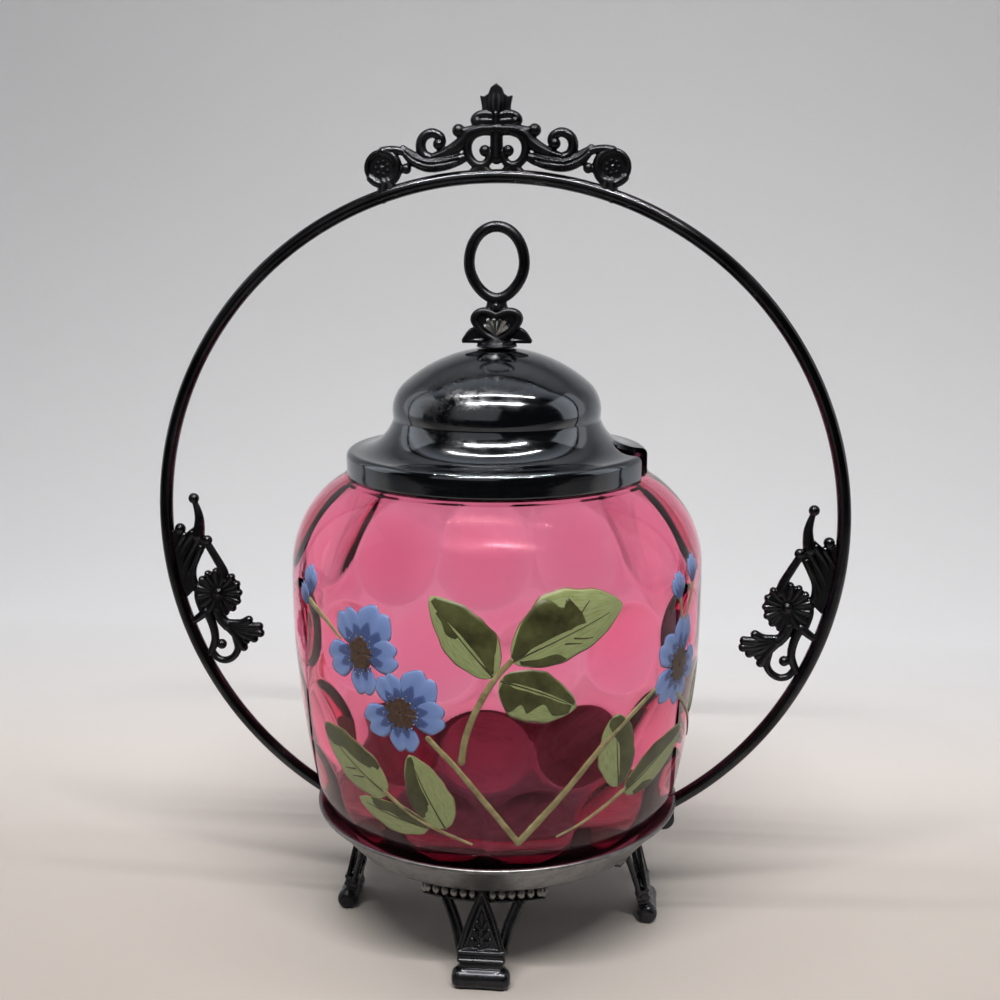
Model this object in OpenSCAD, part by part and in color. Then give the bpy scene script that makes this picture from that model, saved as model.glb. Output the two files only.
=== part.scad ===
// Pickle castor: an enamelled glass jar with a slip-on metal lid, standing in a footed tray
// whose tall fixed hoop is the handle. Millimetres, +Z up, the hoop in the XZ plane,
// the origin on the table at the middle of the four feet.

/* [Tray] */
// Radius of the tray at the edge of its brim
brim_r = 46.9; // [45.8:0.1:49]
// Height of the tray's underside above the table
tray_z = 24; // [22:0.1:26]
// Radius where the tray's wall line meets its underside
tray_base_r = 38.6; // [38:0.1:40]
// Height of the tray from its underside to its brim
tray_h = 9.7; // [8.5:0.1:11]
// Rounding between the tray's underside and its wall
tray_round = 3; // [2:0.1:3.2]
// Thickness of the tray's metal
tray_t = 1.2; // [0.9:0.1:1.4]

/* [Hoop handle] */
// Radius of the hoop to the middle of its rod
hoop_r = 85.9; // [82:0.1:95]
// Diameter of the hoop's rod
hoop_rod_d = 3.4; // [2.8:0.1:4]
// Depth of the brim's edge in the side of the hoop's rod
brim_bite = 0.56; // [0.4:0.02:0.8]
// Least clearance between the finial and the hoop's top
hoop_gap = 6; // [3:0.5:8]
// Width of the solder lug under each end of the hoop
lug_w = 6; // [4:0.5:8]
// Radius of the lug's rounded underside
lug_r = 3.2; // [2.5:0.1:3.6]
// Height of the lug's middle above the tray's underside
lug_h = 3.8; // [3:0.1:4.6]
// Distance of the lug's middle out from the tray's wall line
lug_out = 1.4; // [1:0.1:1.8]

/* [Hoop ornaments] */
// Diameter of the thin scroll rods in the castings
scroll_d = 1.6; // [1.2:0.1:2]
// Diameter of the castings' thick stems
stem_d = 2.2; // [1.8:0.1:2.6]
// Diameter of the balls at the ends of scrolls
ball_d = 2.5; // [2:0.1:3]
// Height of the crest's middle leaf above the hoop
crest_h = 19.6; // [18:0.2:22]
// Distance from the middle to each roundel at the crest's ends
roundel_x = 27.7; // [26.5:0.1:29]
// Radius of each end roundel
roundel_r = 4; // [3.4:0.1:4.6]
// Reach of each side casting in from the hoop
side_w = 16; // [15:0.1:17]
// Height of each side casting
side_h = 43; // [40:0.5:46]
// Radius of the rosette in each side casting
rosette_r = 5.6; // [5:0.1:6]
// Number of ribs on each rosette
rosette_ribs = 14; // [10:1:16]
// Thickness of the leaf web in each side casting
web_t = 1.8; // [1.2:0.1:2.4]

/* [Legs] */
// Distance from the axis to the middle of each roll foot
foot_r = 39.8; // [38.5:0.1:41]
// Diameter of each roll foot
roll_d = 5.3; // [4.6:0.1:6]
// Length of each roll foot
roll_len = 14.2; // [12:0.2:16]
// Depth of the roll's waist between its flared ends
roll_waist = 0.15; // [0.1:0.05:0.25]
// Width of the bevel at the roll's ends
roll_bevel = 0.75; // [0.5:0.05:1]
// Depth of the worn flat under each roll foot
flat_depth = 0.3; // [0.3:0.05:0.5]
// Width of the banded block above each roll
block_w = 11.9; // [11:0.1:13]
// Height of the banded block
block_h = 4.4; // [3.6:0.1:5]
// Diameter of the two bands on the block's face
band_d = 1; // [0.6:0.1:1.4]
// Depth of the leg behind its middle plane
leg_back = 1.7; // [1.4:0.1:2]
// Width of the engraved panel at its foot
panel_w = 11.5; // [10:0.1:12]
// Thickness of the engraved panel
panel_t = 1.4; // [1:0.1:1.8]
// Distance of the panel's back in front of the leg's middle plane
panel_step = 0.6; // [0.5:0.1:0.8]
// Width of the panel's raised edge
panel_rim = 1.1; // [0.8:0.1:1.4]
// Depth of the panel's sunk field
field_depth = 0.5; // [0.3:0.1:0.7]
// Distance between the side struts where they meet the gallery
strut_spread = 17.4; // [15:0.2:20]
// Width of each side strut
strut_w = 2.4; // [1.8:0.1:3]
// Thickness of each side strut
strut_t = 2; // [1.6:0.1:2.2]
// Height of the beaded gallery over each leg
gallery_h = 4.3; // [3.6:0.1:5]
// Thickness of the gallery's strip
gallery_t = 1.8; // [1.4:0.1:2.2]
// Distance of the gallery's face inside the tray's wall line
gallery_in = 3; // [2.6:0.1:4]
// Length of each gallery along its curve
gallery_len = 30; // [26:0.5:34]
// Diameter of the gallery's beads
bead_d = 2.6; // [2:0.1:3]
// Number of beads each side of the panel
beads_each_side = 5; // [3:1:5]

/* [Glass jar] */
// Largest radius of the jar
jar_r = 51.9; // [51:0.1:54]
// Height of the jar's widest line above its base
jar_mid_h = 62.8; // [58:0.2:66]
// Radius of the jar's barrel curve, from base to shoulder
barrel_r = 240; // [180:5:400]
// Rounding of the jar's base edge
base_round = 20.4; // [19:0.1:22]
// Height above the base where the shoulder begins
shoulder_h = 71.5; // [68:0.1:74]
// Rounding of the shoulder
shoulder_round = 25.2; // [24:0.1:27]
// Thickness of the glass wall
glass_t = 2.8; // [2.4:0.1:3.6]
// Thickness of the glass at the base
glass_base_t = 6.3; // [4.5:0.1:7.5]
// Rounding inside the jar's base
inside_round = 15; // [13:0.5:16]
// Height of the neck inside the lid
neck_h = 3; // [2:0.1:3.2]
// Thickness of the neck's glass
neck_t = 2.9; // [2.2:0.1:3.4]
// Clearance between the neck and the lid's band
neck_gap = 2.3; // [2.1:0.1:2.8]
// Width of the glass ledge outside the lid's band
seat_ledge = 0.7; // [0.4:0.1:1]
// Least clearance between the jar and the tray's brim
jar_gap = 0.5; // [0.3:0.1:1]

/* [Lid] */
// Outer radius of the lid's band
band_r = 37.4; // [36:0.1:38.5]
// Height of the lid's band
band_h = 6.3; // [5:0.1:7.5]
// Rounding at the top of the band
band_edge_r = 1.5; // [1:0.1:2]
// Largest radius of the dome
dome_r = 25.85; // [24:0.1:27.5]
// Height of the dome's widest line above the seat
dome_z = 15.8; // [14.5:0.1:17]
// Rounding of the dome's shoulder
dome_shoulder = 9; // [8:0.1:10]
// Height of the dome's top above the seat
dome_top = 31.2; // [29.5:0.1:32]
// Thickness of the lid's metal
lid_t = 1.2; // [0.9:0.1:1.5]
// Width of the spoon notch
notch_w = 12; // [9:0.5:14]
// Distance from the axis to the notch's inner end
notch_in_r = 29; // [28.5:0.1:30]
// Direction of the notch from +X, in degrees
notch_turn = -7; // [-10:1:10]

/* [Finial] */
// Width of the finial's oval ring
ring_w = 16.2; // [14:0.1:18]
// Height of the finial's oval ring
ring_h = 20; // [18:0.1:21]
// Diameter of the ring's rod
ring_rod_d = 2.75; // [2.4:0.05:3.2]
// Width of the heart under the ring
heart_w = 12.5; // [11:0.1:14]
// Height of the heart
heart_h = 8.2; // [7:0.1:9]
// Height of the neck between the heart and the ring
finial_neck_h = 1.2; // [0.8:0.1:1.6]
// Diameter of the bead on the neck
neck_bead_d = 2; // [1.6:0.1:2.4]
// Width over the two leaves under the heart
leaf_span = 18; // [16:0.2:20]
// Radius of the finial's collar on the dome
collar_r = 5; // [4.4:0.1:5.6]
// Thickness of the finial's collar
collar_t = 1; // [0.8:0.1:1.4]
// Radius of the finial's stud
stud_r = 1.5; // [1.2:0.1:1.8]
// Width of the nut across its flats
nut_w = 5.5; // [5:0.1:6.5]
// Thickness of the nut
nut_t = 2.4; // [2:0.1:3]
// Radius of the washer under the nut
washer_r = 4; // [3.6:0.1:4.6]
// Thickness of the washer
washer_t = 0.8; // [0.6:0.1:1.2]

/* [Fits] */
// Gap between parts that are soldered together
solder_gap = 0.05; // [0.02:0.01:0.1]
// Radial clearance of the stud in the lid, washer and nut
stud_gap = 0.1; // [0.05:0.01:0.2]

/* [Hidden] */
$fn = 96;
// Facets round a rod of a casting, and round the hoop's groove in it
casting_fn = 8;
groove_fn = 120;
// Points along a rounded corner or arc of a turned profile, and along a small or nearly straight one
arc_steps = 10;
few_steps = 4;
metal = "#54555a";
metal_dark = "#3c3d41";
glass = [0.80, 0.16, 0.36, 0.6];

// Tray
brim_z = tray_z + tray_h;
floor_z = tray_z + tray_t;
wall_slope = atan2(tray_h, brim_r - tray_base_r);
brim_in_r = brim_r - tray_t / sin(wall_slope);

// Jar: the barrel's circle holds the base and shoulder roundings at a tangent, and the lid's
// seat is cut flat into the shoulder just outside the lid's band. The jar stands on the tray's
// floor, or higher where its base is too wide for the brim
base_c_r = jar_r - barrel_r + sqrt(pow(barrel_r - base_round, 2) - pow(jar_mid_h - base_round, 2));
base_reach = max(0, brim_in_r - base_c_r);
jar_z = max(
    floor_z,
    brim_z - base_round + sqrt(max(0, pow(base_round + jar_gap, 2) - pow(base_reach, 2)))
);
barrel_c = [jar_r - barrel_r, jar_z + jar_mid_h];
shoulder_turn = asin((shoulder_h - jar_mid_h) / barrel_r);
shoulder_c = [
    barrel_c[0] + (barrel_r - shoulder_round) * cos(shoulder_turn),
    barrel_c[1] + (barrel_r - shoulder_round) * sin(shoulder_turn)
];
seat_r = band_r + seat_ledge;
seat_z = shoulder_c[1] + sqrt(pow(shoulder_round, 2) - pow(seat_r - shoulder_c[0], 2));
neck_r = band_r - lid_t - neck_gap;
neck_in_r = neck_r - neck_t;
dome_top_z = seat_z + dome_top;

// Finial
finial_z = dome_top_z + solder_gap;
heart_z = finial_z + collar_t;
ring_z = heart_z + heart_h + finial_neck_h + ring_h / 2;
finial_top_z = ring_z + ring_h / 2;

// Hoop: the side of its rod rests on the brim's edge, and it rises on straight tails at a
// tangent where its circle would be too low for the finial
hoop_in_r = hoop_r - hoop_rod_d / 2;
hoop_out_r = hoop_r + hoop_rod_d / 2;
bite_r = hoop_in_r + brim_bite;
hoop_z = max(
    brim_z + sqrt(pow(bite_r, 2) - pow(brim_r, 2)),
    finial_top_z + hoop_gap - hoop_in_r
);
hoop_top_z = hoop_z + hoop_out_r;
brim_reach = norm([brim_r, hoop_z - brim_z]);
hoop_end_turn = acos(min(1, bite_r / brim_reach)) - atan2(hoop_z - brim_z, brim_r);
tail_len = sqrt(max(0, pow(brim_reach, 2) - pow(bite_r, 2)));

// Grids of the castings' drawings: the crest's is 27.7 to its roundels and 19.6 high, a side
// casting's is 16 wide and 43 high
crest_grid = [roundel_x / 27.7, crest_h / 19.6];
side_grid = [side_w / 16, side_h / 43];

// Legs and galleries
gallery_z = tray_z - gallery_h;
gallery_out_r = tray_base_r - gallery_in;
gallery_in_r = gallery_out_r - gallery_t;
roll_z = roll_d / 2 - flat_depth;
lean = atan2(foot_r - gallery_out_r + gallery_t / 3, gallery_z - roll_z);

// A point on a circle in a profile's plane
function on_arc(c, r, a) = [c[0] + r * cos(a), c[1] + r * sin(a)];
function arc(c, r, a0, a1, n = arc_steps) = [for (i = [0:n]) on_arc(c, r, a0 + (a1 - a0) * i / n)];

// An outline of [x, y, rounding] corners as points, with each corner rounded by a tangent arc
function unit(v) = v / norm(v);
function xy(p) = [p[0], p[1]];
function turn_to(a, b) = (b - a + 540) % 360 - 180;
function heading(v) = atan2(v[1], v[0]);
function rounded_corner(a, p, b, n) =
    let (
        u = unit(xy(a) - xy(p)),
        v = unit(xy(b) - xy(p)),
        half = acos(u * v) / 2,
        c = xy(p) + unit(u + v) * p[2] / sin(half),
        from = heading(xy(p) + u * p[2] / tan(half) - c),
        to = heading(xy(p) + v * p[2] / tan(half) - c)
    )
    [for (i = [0:n]) on_arc(c, p[2], from + turn_to(from, to) * i / n)];
function rounded(pts, n = arc_steps) = [
    for (i = [0:len(pts) - 1])
        let (p = pts[i])
        each (p[2] > 0 ? rounded_corner(pts[i - 1], p, pts[i + 1], n) : [xy(p)])
];

// Points along a spiral in the hoop's plane, as [x, z]
function spiral(c, r0, r1, a0, a1, n) =
    [for (i = [0:n]) on_arc(c, r0 + (r1 - r0) * i / n, a0 + (a1 - a0) * i / n)];

// A ball of a casting, at [x, z] in the hoop's plane
module ball(p, d) {
    translate([p[0], 0, p[1]]) sphere(d = d, $fn = casting_fn);
}

// A rod of a casting along points in the hoop's plane, tapering from d0 to d1
module rod(path, d0, d1) {
    last = len(path) - 1;
    for (i = [0:last - 1])
        hull() {
            ball(path[i], d0 + (d1 - d0) * i / last);
            ball(path[i + 1], d0 + (d1 - d0) * (i + 1) / last);
        }
}

// The hoop's rod swollen by a gap, with its ends run on past the brim
module hoop_rod(gap) {
    run_on = hoop_rod_d;
    straight = tail_len > solder_gap;
    end_turn = hoop_end_turn - (straight ? 0 : run_on / hoop_r * 180 / PI);
    d = hoop_rod_d + 2 * gap;
    translate([0, 0, hoop_z]) {
        rotate([90, 0, 0]) rotate([0, 0, end_turn])
            rotate_extrude(angle = 180 - 2 * end_turn, $fn = groove_fn)
            translate([hoop_r, 0]) circle(d = d, $fn = 24);
        // Each tail starts a little way back in the arc
        if (straight)
            for (side = [-1, 1])
                translate([side * hoop_r * cos(end_turn), 0, hoop_r * sin(end_turn)])
                    rotate([0, side * (180 - end_turn), 0])
                    translate([0, 0, -run_on]) cylinder(d = d, h = tail_len + 2 * run_on);
    }
}

// Everything inside the tray's wall, swollen by the solder gap
module tray_envelope() {
    g = solder_gap / sin(wall_slope);
    rotate_extrude()
        polygon([
            [0, tray_z], [tray_base_r + g, tray_z], [brim_r + g, brim_z],
            [brim_r + g, brim_z + 2 * hoop_rod_d], [0, brim_z + 2 * hoop_rod_d]
        ]);
}

module tray_dish() {
    inner_base_r = tray_base_r - tray_t * tan(wall_slope / 2);
    lip = tray_t / sin(wall_slope);
    outline = rounded([
        [0, tray_z, 0],
        [tray_base_r, tray_z, tray_round],
        [brim_r, brim_z, tray_t * 0.2],
        [brim_r - lip, brim_z, tray_t * 0.2],
        [inner_base_r, floor_z, tray_round - tray_t],
        [0, floor_z, 0]
    ]);
    color(metal) rotate_extrude() polygon(outline);
}

module handle_hoop() {
    color(metal_dark)
        difference() {
            hoop_rod(0);
            tray_envelope();
        }
}

// A rounded solder lug in the corner between the hoop's end and the tray's wall
module hoop_lug() {
    lug_x = tray_base_r + lug_h / tan(wall_slope) + lug_out;
    lug_z = tray_z + lug_h;
    color(metal_dark)
        difference() {
            translate([lug_x, 0, lug_z]) rotate([90, 0, 0]) cylinder(r = lug_r, h = lug_w, center = true);
            tray_envelope();
            hoop_rod(solder_gap);
        }
}

module hoop_lug_right() { hoop_lug(); }
module hoop_lug_left() { mirror([1, 0, 0]) hoop_lug(); }

// The middle of the hoop's rod at x, as [x, z] from the hoop's top
function on_rod(x) = [x, sqrt(hoop_r * hoop_r - x * x) - hoop_out_r];

// Points of the crest's drawing, with heights above the hoop's top, as [x, z]
function drawn(pts) = [for (p = pts) [p[0] * crest_grid[0], p[1] * crest_grid[1]]];
function drawn_at(x, z) = drawn([[x, z]])[0];

// One half of the crest
module crest_half() {
    inner = [3.9, 4.9];
    outer = [15.3, 6.1];
    curl_r = 1.3;
    // Inner C-scroll and its curl
    rod(drawn(spiral(inner, 4.3, curl_r, 115, -195, 10)), stem_d * 0.8, scroll_d * 0.8);
    ball(drawn([on_arc(inner, curl_r, 165)])[0], ball_d * 0.8);
    // Arch over it that runs down into the outer scroll, with a curled end
    rod(drawn([[0.5, 9.3], [3.5, 9.6], [6.3, 8.4], [8.4, 6], [10.6, 4], [13.2, 2.6]]),
        stem_d * 0.9, scroll_d);
    rod(drawn([[5, 9.4], [7.2, 8.9], [8.8, 8.7]]), scroll_d, scroll_d);
    ball(drawn_at(8.8, 8.7), ball_d);
    // Outer C-scroll
    rod(drawn(spiral(outer, 3.9, curl_r, -95, 200, 9)), stem_d * 0.8, scroll_d * 0.8);
    ball(drawn([on_arc(outer, curl_r, 200)])[0], ball_d * 0.85);
    // Leaf that sweeps under it from the inner scroll to its tip
    rod(drawn([[7.2, 3.4], [9.2, 2.6], [12.4, 1.5], [16, 1]]), scroll_d, stem_d);
    rod(drawn([[16, 1], [19.2, 1.9], [21, 3.3], [22.2, 4.7]]), stem_d, scroll_d * 0.8);
    // End roundel, its tail to the leaf, its ball and its foot on the hoop
    roundel = drawn_at(27.7, 0.4);
    tail_ball = drawn_at(21.9, -0.2);
    ring_r = roundel_r - scroll_d / 2;
    foot_d = min(stem_d * 1.3, hoop_rod_d * 0.85);
    translate([roundel[0], 0, roundel[1]]) rotate([90, 0, 0])
        cylinder(r = ring_r, h = scroll_d * 0.6, center = true, $fn = 20);
    rod(spiral(roundel, ring_r, ring_r, 0, 360, 12), scroll_d, scroll_d);
    rod([on_arc(roundel, ring_r, 111), drawn_at(24.4, 3.3), drawn_at(21.4, 2.9)], scroll_d, scroll_d);
    rod([on_arc(roundel, ring_r, 202), drawn_at(22.9, -0.9), tail_ball], scroll_d * 0.9, scroll_d * 0.9);
    ball(tail_ball, ball_d * 0.85);
    rod([on_arc(roundel, ring_r * 0.87, 249), on_rod(roundel_x - roundel_r * 0.42)], stem_d, foot_d);
    rod([drawn_at(3.7, 1), on_rod(roundel_x / 8)], foot_d, foot_d);
    // Curled calyx and side leaf of the palmette
    rod(drawn([[0.3, 12.4], [2.4, 13], [4.6, 12.5], [5.5, 11.3], [4.5, 10.8]]), stem_d * 0.9, scroll_d);
    ball(drawn_at(4.5, 11), ball_d);
    hull() {
        ball(drawn_at(1.1, 13.2), stem_d);
        ball(drawn_at(2.5, 15.2), stem_d);
        ball(drawn_at(3.7, 16.6), scroll_d / 2);
    }
}

module crest_casting() {
    color(metal_dark)
        difference() {
            translate([0, 0, hoop_top_z]) {
                crest_half();
                mirror([1, 0, 0]) crest_half();
                // Stem between the inner scrolls, up to the palmette's middle leaf
                rod(drawn([[0, 2.6], [0, 12.8]]), stem_d, stem_d);
                hull() {
                    ball(drawn_at(0, 12.8), stem_d);
                    ball([0, crest_h - stem_d], stem_d * 1.5);
                    ball([0, crest_h], scroll_d / 2);
                }
            }
            hoop_rod(solder_gap);
        }
}

// A point of a side casting: its distance in from the hoop and its height from the hoop's centre
function inset(d, h) =
    let (z = h * side_grid[1])
    [sqrt(hoop_in_r * hoop_in_r - z * z) - d * side_grid[0], z];
function insets(pts) = [for (p = pts) inset(p[0], p[1])];

// The right-hand side casting: tong hook, leaf web, arm, rosette, scroll and lily
module side_scroll() {
    rosette_at = inset(8.7, -19.2);
    rib_d = 2 * PI * rosette_r / rosette_ribs * 0.75;
    color(metal_dark)
        translate([0, 0, hoop_z])
        difference() {
            union() {
                // Tong hook with its ball, and the small ball beside it
                rod(insets([[7, -6], [7, -3.4], [6.9, -1.1], [6.7, 1.2], [6.1, 3.8], [5.5, 5.5]]),
                    stem_d, scroll_d);
                ball(inset(5.5, 5.5), ball_d);
                ball(inset(1.7, -2.8), ball_d * 1.1);
                // Leaf web between the hook's foot and the hoop, with its veins
                rotate([90, 0, 0]) linear_extrude(height = web_t, center = true)
                    polygon(insets([
                        [-1, -1.8], [2.4, -3.4], [4.6, -3], [6.6, -1.4], [7.4, -6], [6.2, -8], [4, -11.4],
                        [2.8, -14.2], [2.8, -17], [1.4, -20.8], [-1, -22]
                    ]));
                for (h = [-6, -9, -12])
                    rod([inset(0.3, h - 3), inset(4.2 + (h + 6) * 0.35, h + 1.5)], scroll_d, scroll_d * 1.4);
                rod(insets([[6.7, -7.4], [4.15, -11.2], [3.05, -14.5], [3.7, -17.3]]), scroll_d, scroll_d);
                // Arm from the hook's foot to the rosette
                ball(inset(8.6, -5.6), ball_d);
                rod(insets([[7.5, -5.3], [8.3, -7], [10, -9.8], [11.8, -12.7], [11.2, -15]]),
                    scroll_d, stem_d);
                // Rosette with ribs round a domed middle
                for (i = [0:rosette_ribs - 1])
                    rod([
                        on_arc(rosette_at, rosette_r * 0.2, i * 360 / rosette_ribs),
                        on_arc(rosette_at, rosette_r - rib_d / 2, i * 360 / rosette_ribs)
                    ], rib_d * 0.8, rib_d);
                ball(rosette_at, rib_d * 2);
                // Branch and stem from the rosette back to the hoop
                rod(insets([[6, -23], [2.4, -25.4], [-0.6, -27.6]]), stem_d, scroll_d);
                rod(insets([[6.4, -23], [4.2, -26], [3.6, -30.2], [2.7, -33.5], [0.2, -37]]),
                    stem_d, scroll_d);
                // Open scroll under the lily
                rod(insets([[7.4, -28], [8.6, -31], [8.4, -34], [6.8, -36.6], [4.4, -37.6], [1, -37.4]]),
                    stem_d, scroll_d);
                rod(insets([[2.8, -33.2], [4.9, -33.4]]), scroll_d, scroll_d);
                ball(inset(4.9, -33.4), ball_d);
                // Lily with three petals
                rod(insets([[7, -23.4], [7.3, -27], [9, -29]]), stem_d, stem_d * 1.3);
                rod(insets([[8, -27.4], [11.4, -27.2], [14.8, -26.2]]), stem_d, ball_d * 0.9);
                rod(insets([[8.4, -28.2], [12.6, -29], [16, -29.9]]), stem_d, ball_d * 1.3);
                rod(insets([[8.4, -29], [10, -31.8], [10.6, -34.2]]), stem_d, ball_d * 0.9);
            }
            translate([0, 0, -hoop_z]) hoop_rod(solder_gap);
        }
}

module side_scroll_right() { side_scroll(); }
module side_scroll_left() { mirror([1, 0, 0]) side_scroll(); }

// Beaded strip under the tray, along an arc centred on +X, with room for the panel's tip
module gallery() {
    half_turn = gallery_len / gallery_out_r * 90 / PI;
    clear_turn = panel_w / gallery_out_r * 12;
    pitch = (half_turn - clear_turn) / beads_each_side;
    color(metal) {
        rotate([0, 0, -half_turn]) rotate_extrude(angle = 2 * half_turn)
            translate([gallery_in_r, gallery_z]) square([gallery_out_r - gallery_in_r, gallery_h]);
        for (side = [-1, 1]) {
            // Flange under the beads
            rotate([0, 0, side > 0 ? clear_turn : -half_turn])
                rotate_extrude(angle = half_turn - clear_turn)
                translate([gallery_out_r - gallery_t * 0.6, gallery_z])
                square([gallery_t * 0.6 + bead_d * 0.3, gallery_h * 0.16]);
            for (i = [1:beads_each_side])
                rotate([0, 0, side * (clear_turn + (i - 0.5) * pitch)])
                    translate([gallery_out_r - bead_d * 0.15, 0, tray_z - gallery_h * 0.46])
                    sphere(d = bead_d, $fn = 32);
        }
    }
}

module gallery_right() { gallery(); }
module gallery_back() { rotate([0, 0, 90]) gallery(); }
module gallery_left() { rotate([0, 0, 180]) gallery(); }
module gallery_front() { rotate([0, 0, 270]) gallery(); }

// A flat plate of the leg: an outline of [across, up] points, from depth w0 to w1 outwards
module leg_plate(outline, w0, w1) {
    translate([w0, 0, 0]) rotate([90, 0, 90]) linear_extrude(height = w1 - w0) polygon(outline);
}

// One leg, pointing along +X, its plane leaning in from the roll foot to the gallery
module leg() {
    roll_r = roll_d / 2;
    leg_top = (gallery_z - roll_z) / cos(lean);
    block_top = roll_r * 0.8 + block_h;
    block_front = panel_step + panel_t;
    sink = panel_t * 0.4;
    // The panel stands on the block and its tip rests against the gallery
    panel_x = foot_r - sin(lean) * block_top + cos(lean) * panel_step;
    panel_z = roll_z + cos(lean) * block_top + sin(lean) * panel_step;
    panel_rise = tray_z - gallery_h * 0.15 - panel_z;
    panel_lean = atan2(panel_x - gallery_out_r - 2 * solder_gap, panel_rise);
    apex = panel_rise / cos(panel_lean);
    color(metal) {
        difference() {
            translate([foot_r, 0, roll_z]) {
                // Roll foot with flared ends
                rotate([90, 0, 0])
                    rotate_extrude()
                        polygon([
                            [0, -roll_len / 2], [roll_r - roll_bevel, -roll_len / 2],
                            [roll_r, -roll_len / 2 + roll_bevel],
                            [roll_r - roll_waist, -roll_len / 4], [roll_r - roll_waist, roll_len / 4],
                            [roll_r, roll_len / 2 - roll_bevel],
                            [roll_r - roll_bevel, roll_len / 2], [0, roll_len / 2]
                        ]);
                rotate([0, -lean, 0]) {
                    // Banded block
                    leg_plate([
                        [-block_w / 2, 0], [block_w / 2, 0],
                        [block_w / 2, block_top], [-block_w / 2, block_top]
                    ], -leg_back, block_front);
                    for (h = [0.3, 0.85])
                        translate([block_front, 0, block_top - block_h * (1 - h)]) rotate([90, 0, 0])
                            cylinder(d = band_d, h = block_w, center = true, $fn = 24);
                    // Side struts, up and out to the gallery
                    for (side = [-1, 1])
                        leg_plate([
                            [side * (block_w / 2 - strut_w), block_top - sink],
                            [side * block_w / 2, block_top - sink],
                            [side * (strut_spread + strut_w) / 2, leg_top + strut_t],
                            [side * (strut_spread - strut_w) / 2, leg_top + strut_t]
                        ], -strut_t * 0.75, strut_t * 0.25);
                }
            }
            // The table, and the gallery's seat
            translate([foot_r, 0, -roll_d]) cube([4 * roll_d, 2 * roll_len, 2 * roll_d], center = true);
            translate([0, -roll_len, gallery_z - solder_gap]) cube([2 * foot_r, 2 * roll_len, tray_z]);
        }
        // Engraved panel with a sunk field
        translate([panel_x, 0, panel_z]) rotate([0, -panel_lean, 0])
            difference() {
                leg_plate([[-panel_w / 2, -sink], [panel_w / 2, -sink], [0, apex]], 0, panel_t);
                leg_plate([
                    [-panel_w / 2 + panel_rim * 1.6, panel_rim * 0.7],
                    [panel_w / 2 - panel_rim * 1.6, panel_rim * 0.7],
                    [0, apex - panel_rim * 2.6]
                ], panel_t - field_depth, 2 * panel_t);
            }
    }
}

module leg_right() { leg(); }
module leg_back() { rotate([0, 0, 90]) leg(); }
module leg_left() { rotate([0, 0, 180]) leg(); }
module leg_front() { rotate([0, 0, 270]) leg(); }

// The glass between its outside at t = 0 and its inside at t = glass_t: one face of the jar's
// barrel, from a base at height z with rounding r to where the shoulder meets radius end_r, with n
// points along its base and its shoulder
function jar_face(t, z, r, end_r, n) =
    let (
        base_c = [barrel_c[0] + sqrt(pow(barrel_r - t - r, 2) - pow(barrel_c[1] - z - r, 2)), z + r],
        base_turn = heading(base_c - barrel_c),
        end_turn = acos((end_r - shoulder_c[0]) / (shoulder_round - t))
    )
    concat(
        [[0, z]],
        arc(base_c, r, -90, base_turn, n),
        arc(barrel_c, barrel_r - t, base_turn, shoulder_turn, few_steps),
        arc(shoulder_c, shoulder_round - t, shoulder_turn, end_turn, n)
    );

module glass_jar() {
    lip = neck_t * 0.3;
    outside = jar_face(0, jar_z, base_round, seat_r, arc_steps);
    inside = jar_face(glass_t, jar_z + glass_base_t, inside_round, neck_in_r, few_steps);
    neck = rounded([
        [neck_r, seat_z, 0],
        [neck_r, seat_z + neck_h, lip],
        [neck_in_r, seat_z + neck_h, lip],
        [neck_in_r, seat_z, 0]
    ], few_steps);
    color(glass)
        rotate_extrude() polygon(concat(outside, neck, [for (i = [len(inside) - 1:-1:0]) inside[i]]));
}

// Lid curves: the dome's shoulder and crown arcs meet at a tangent, and the flare runs from the
// dome's pinch down to the band
dome_c = [dome_r - dome_shoulder, dome_z];
crown_h = dome_top - dome_z;
crown_r = (dome_c[0] * dome_c[0] + crown_h * crown_h - dome_shoulder * dome_shoulder)
    / (2 * (crown_h - dome_shoulder));
crown_c = [0, dome_top - crown_r];
crown_turn = atan2(crown_r - crown_h, dome_c[0]);
pinch_turn = 12;
pinch = on_arc(dome_c, dome_shoulder, -pinch_turn);
flare_x = band_r - band_edge_r;
flare_dx = flare_x - pinch[0];
flare_dz = pinch[1] - band_h;
flare_r = (flare_dx * flare_dx + flare_dz * flare_dz) / (2 * flare_dz);
flare_c = [flare_x, band_h + flare_r];
flare_turn = atan2(pinch[1] - flare_c[1], pinch[0] - flare_c[0]) + 360;

// The lid's profile above its seat, at a depth t inside its outer face
function lid_outline(t) = concat(
    [[band_r - t, 0]],
    arc([band_r - band_edge_r, band_h - band_edge_r], band_edge_r - t, 0, 90, few_steps),
    arc(flare_c, flare_r + t, 270, flare_turn),
    arc(dome_c, dome_shoulder - t, -pinch_turn, crown_turn),
    arc(crown_c, crown_r - t, crown_turn, 90)
);

module lid_shell() {
    outer = lid_outline(0);
    inner = lid_outline(lid_t);
    color(metal)
        difference() {
            translate([0, 0, seat_z]) rotate_extrude()
                polygon(concat(outer, [for (i = [len(inner) - 1:-1:0]) inner[i]]));
            // Spoon notch with a round inner end
            rotate([0, 0, notch_turn]) translate([notch_in_r + notch_w / 2, 0, seat_z - 1]) {
                cylinder(d = notch_w, h = dome_z);
                translate([0, -notch_w / 2, 0]) cube([band_r, notch_w, dome_z]);
            }
            cylinder(r = stud_r + stud_gap, h = 2 * dome_top_z);
        }
}

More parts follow.
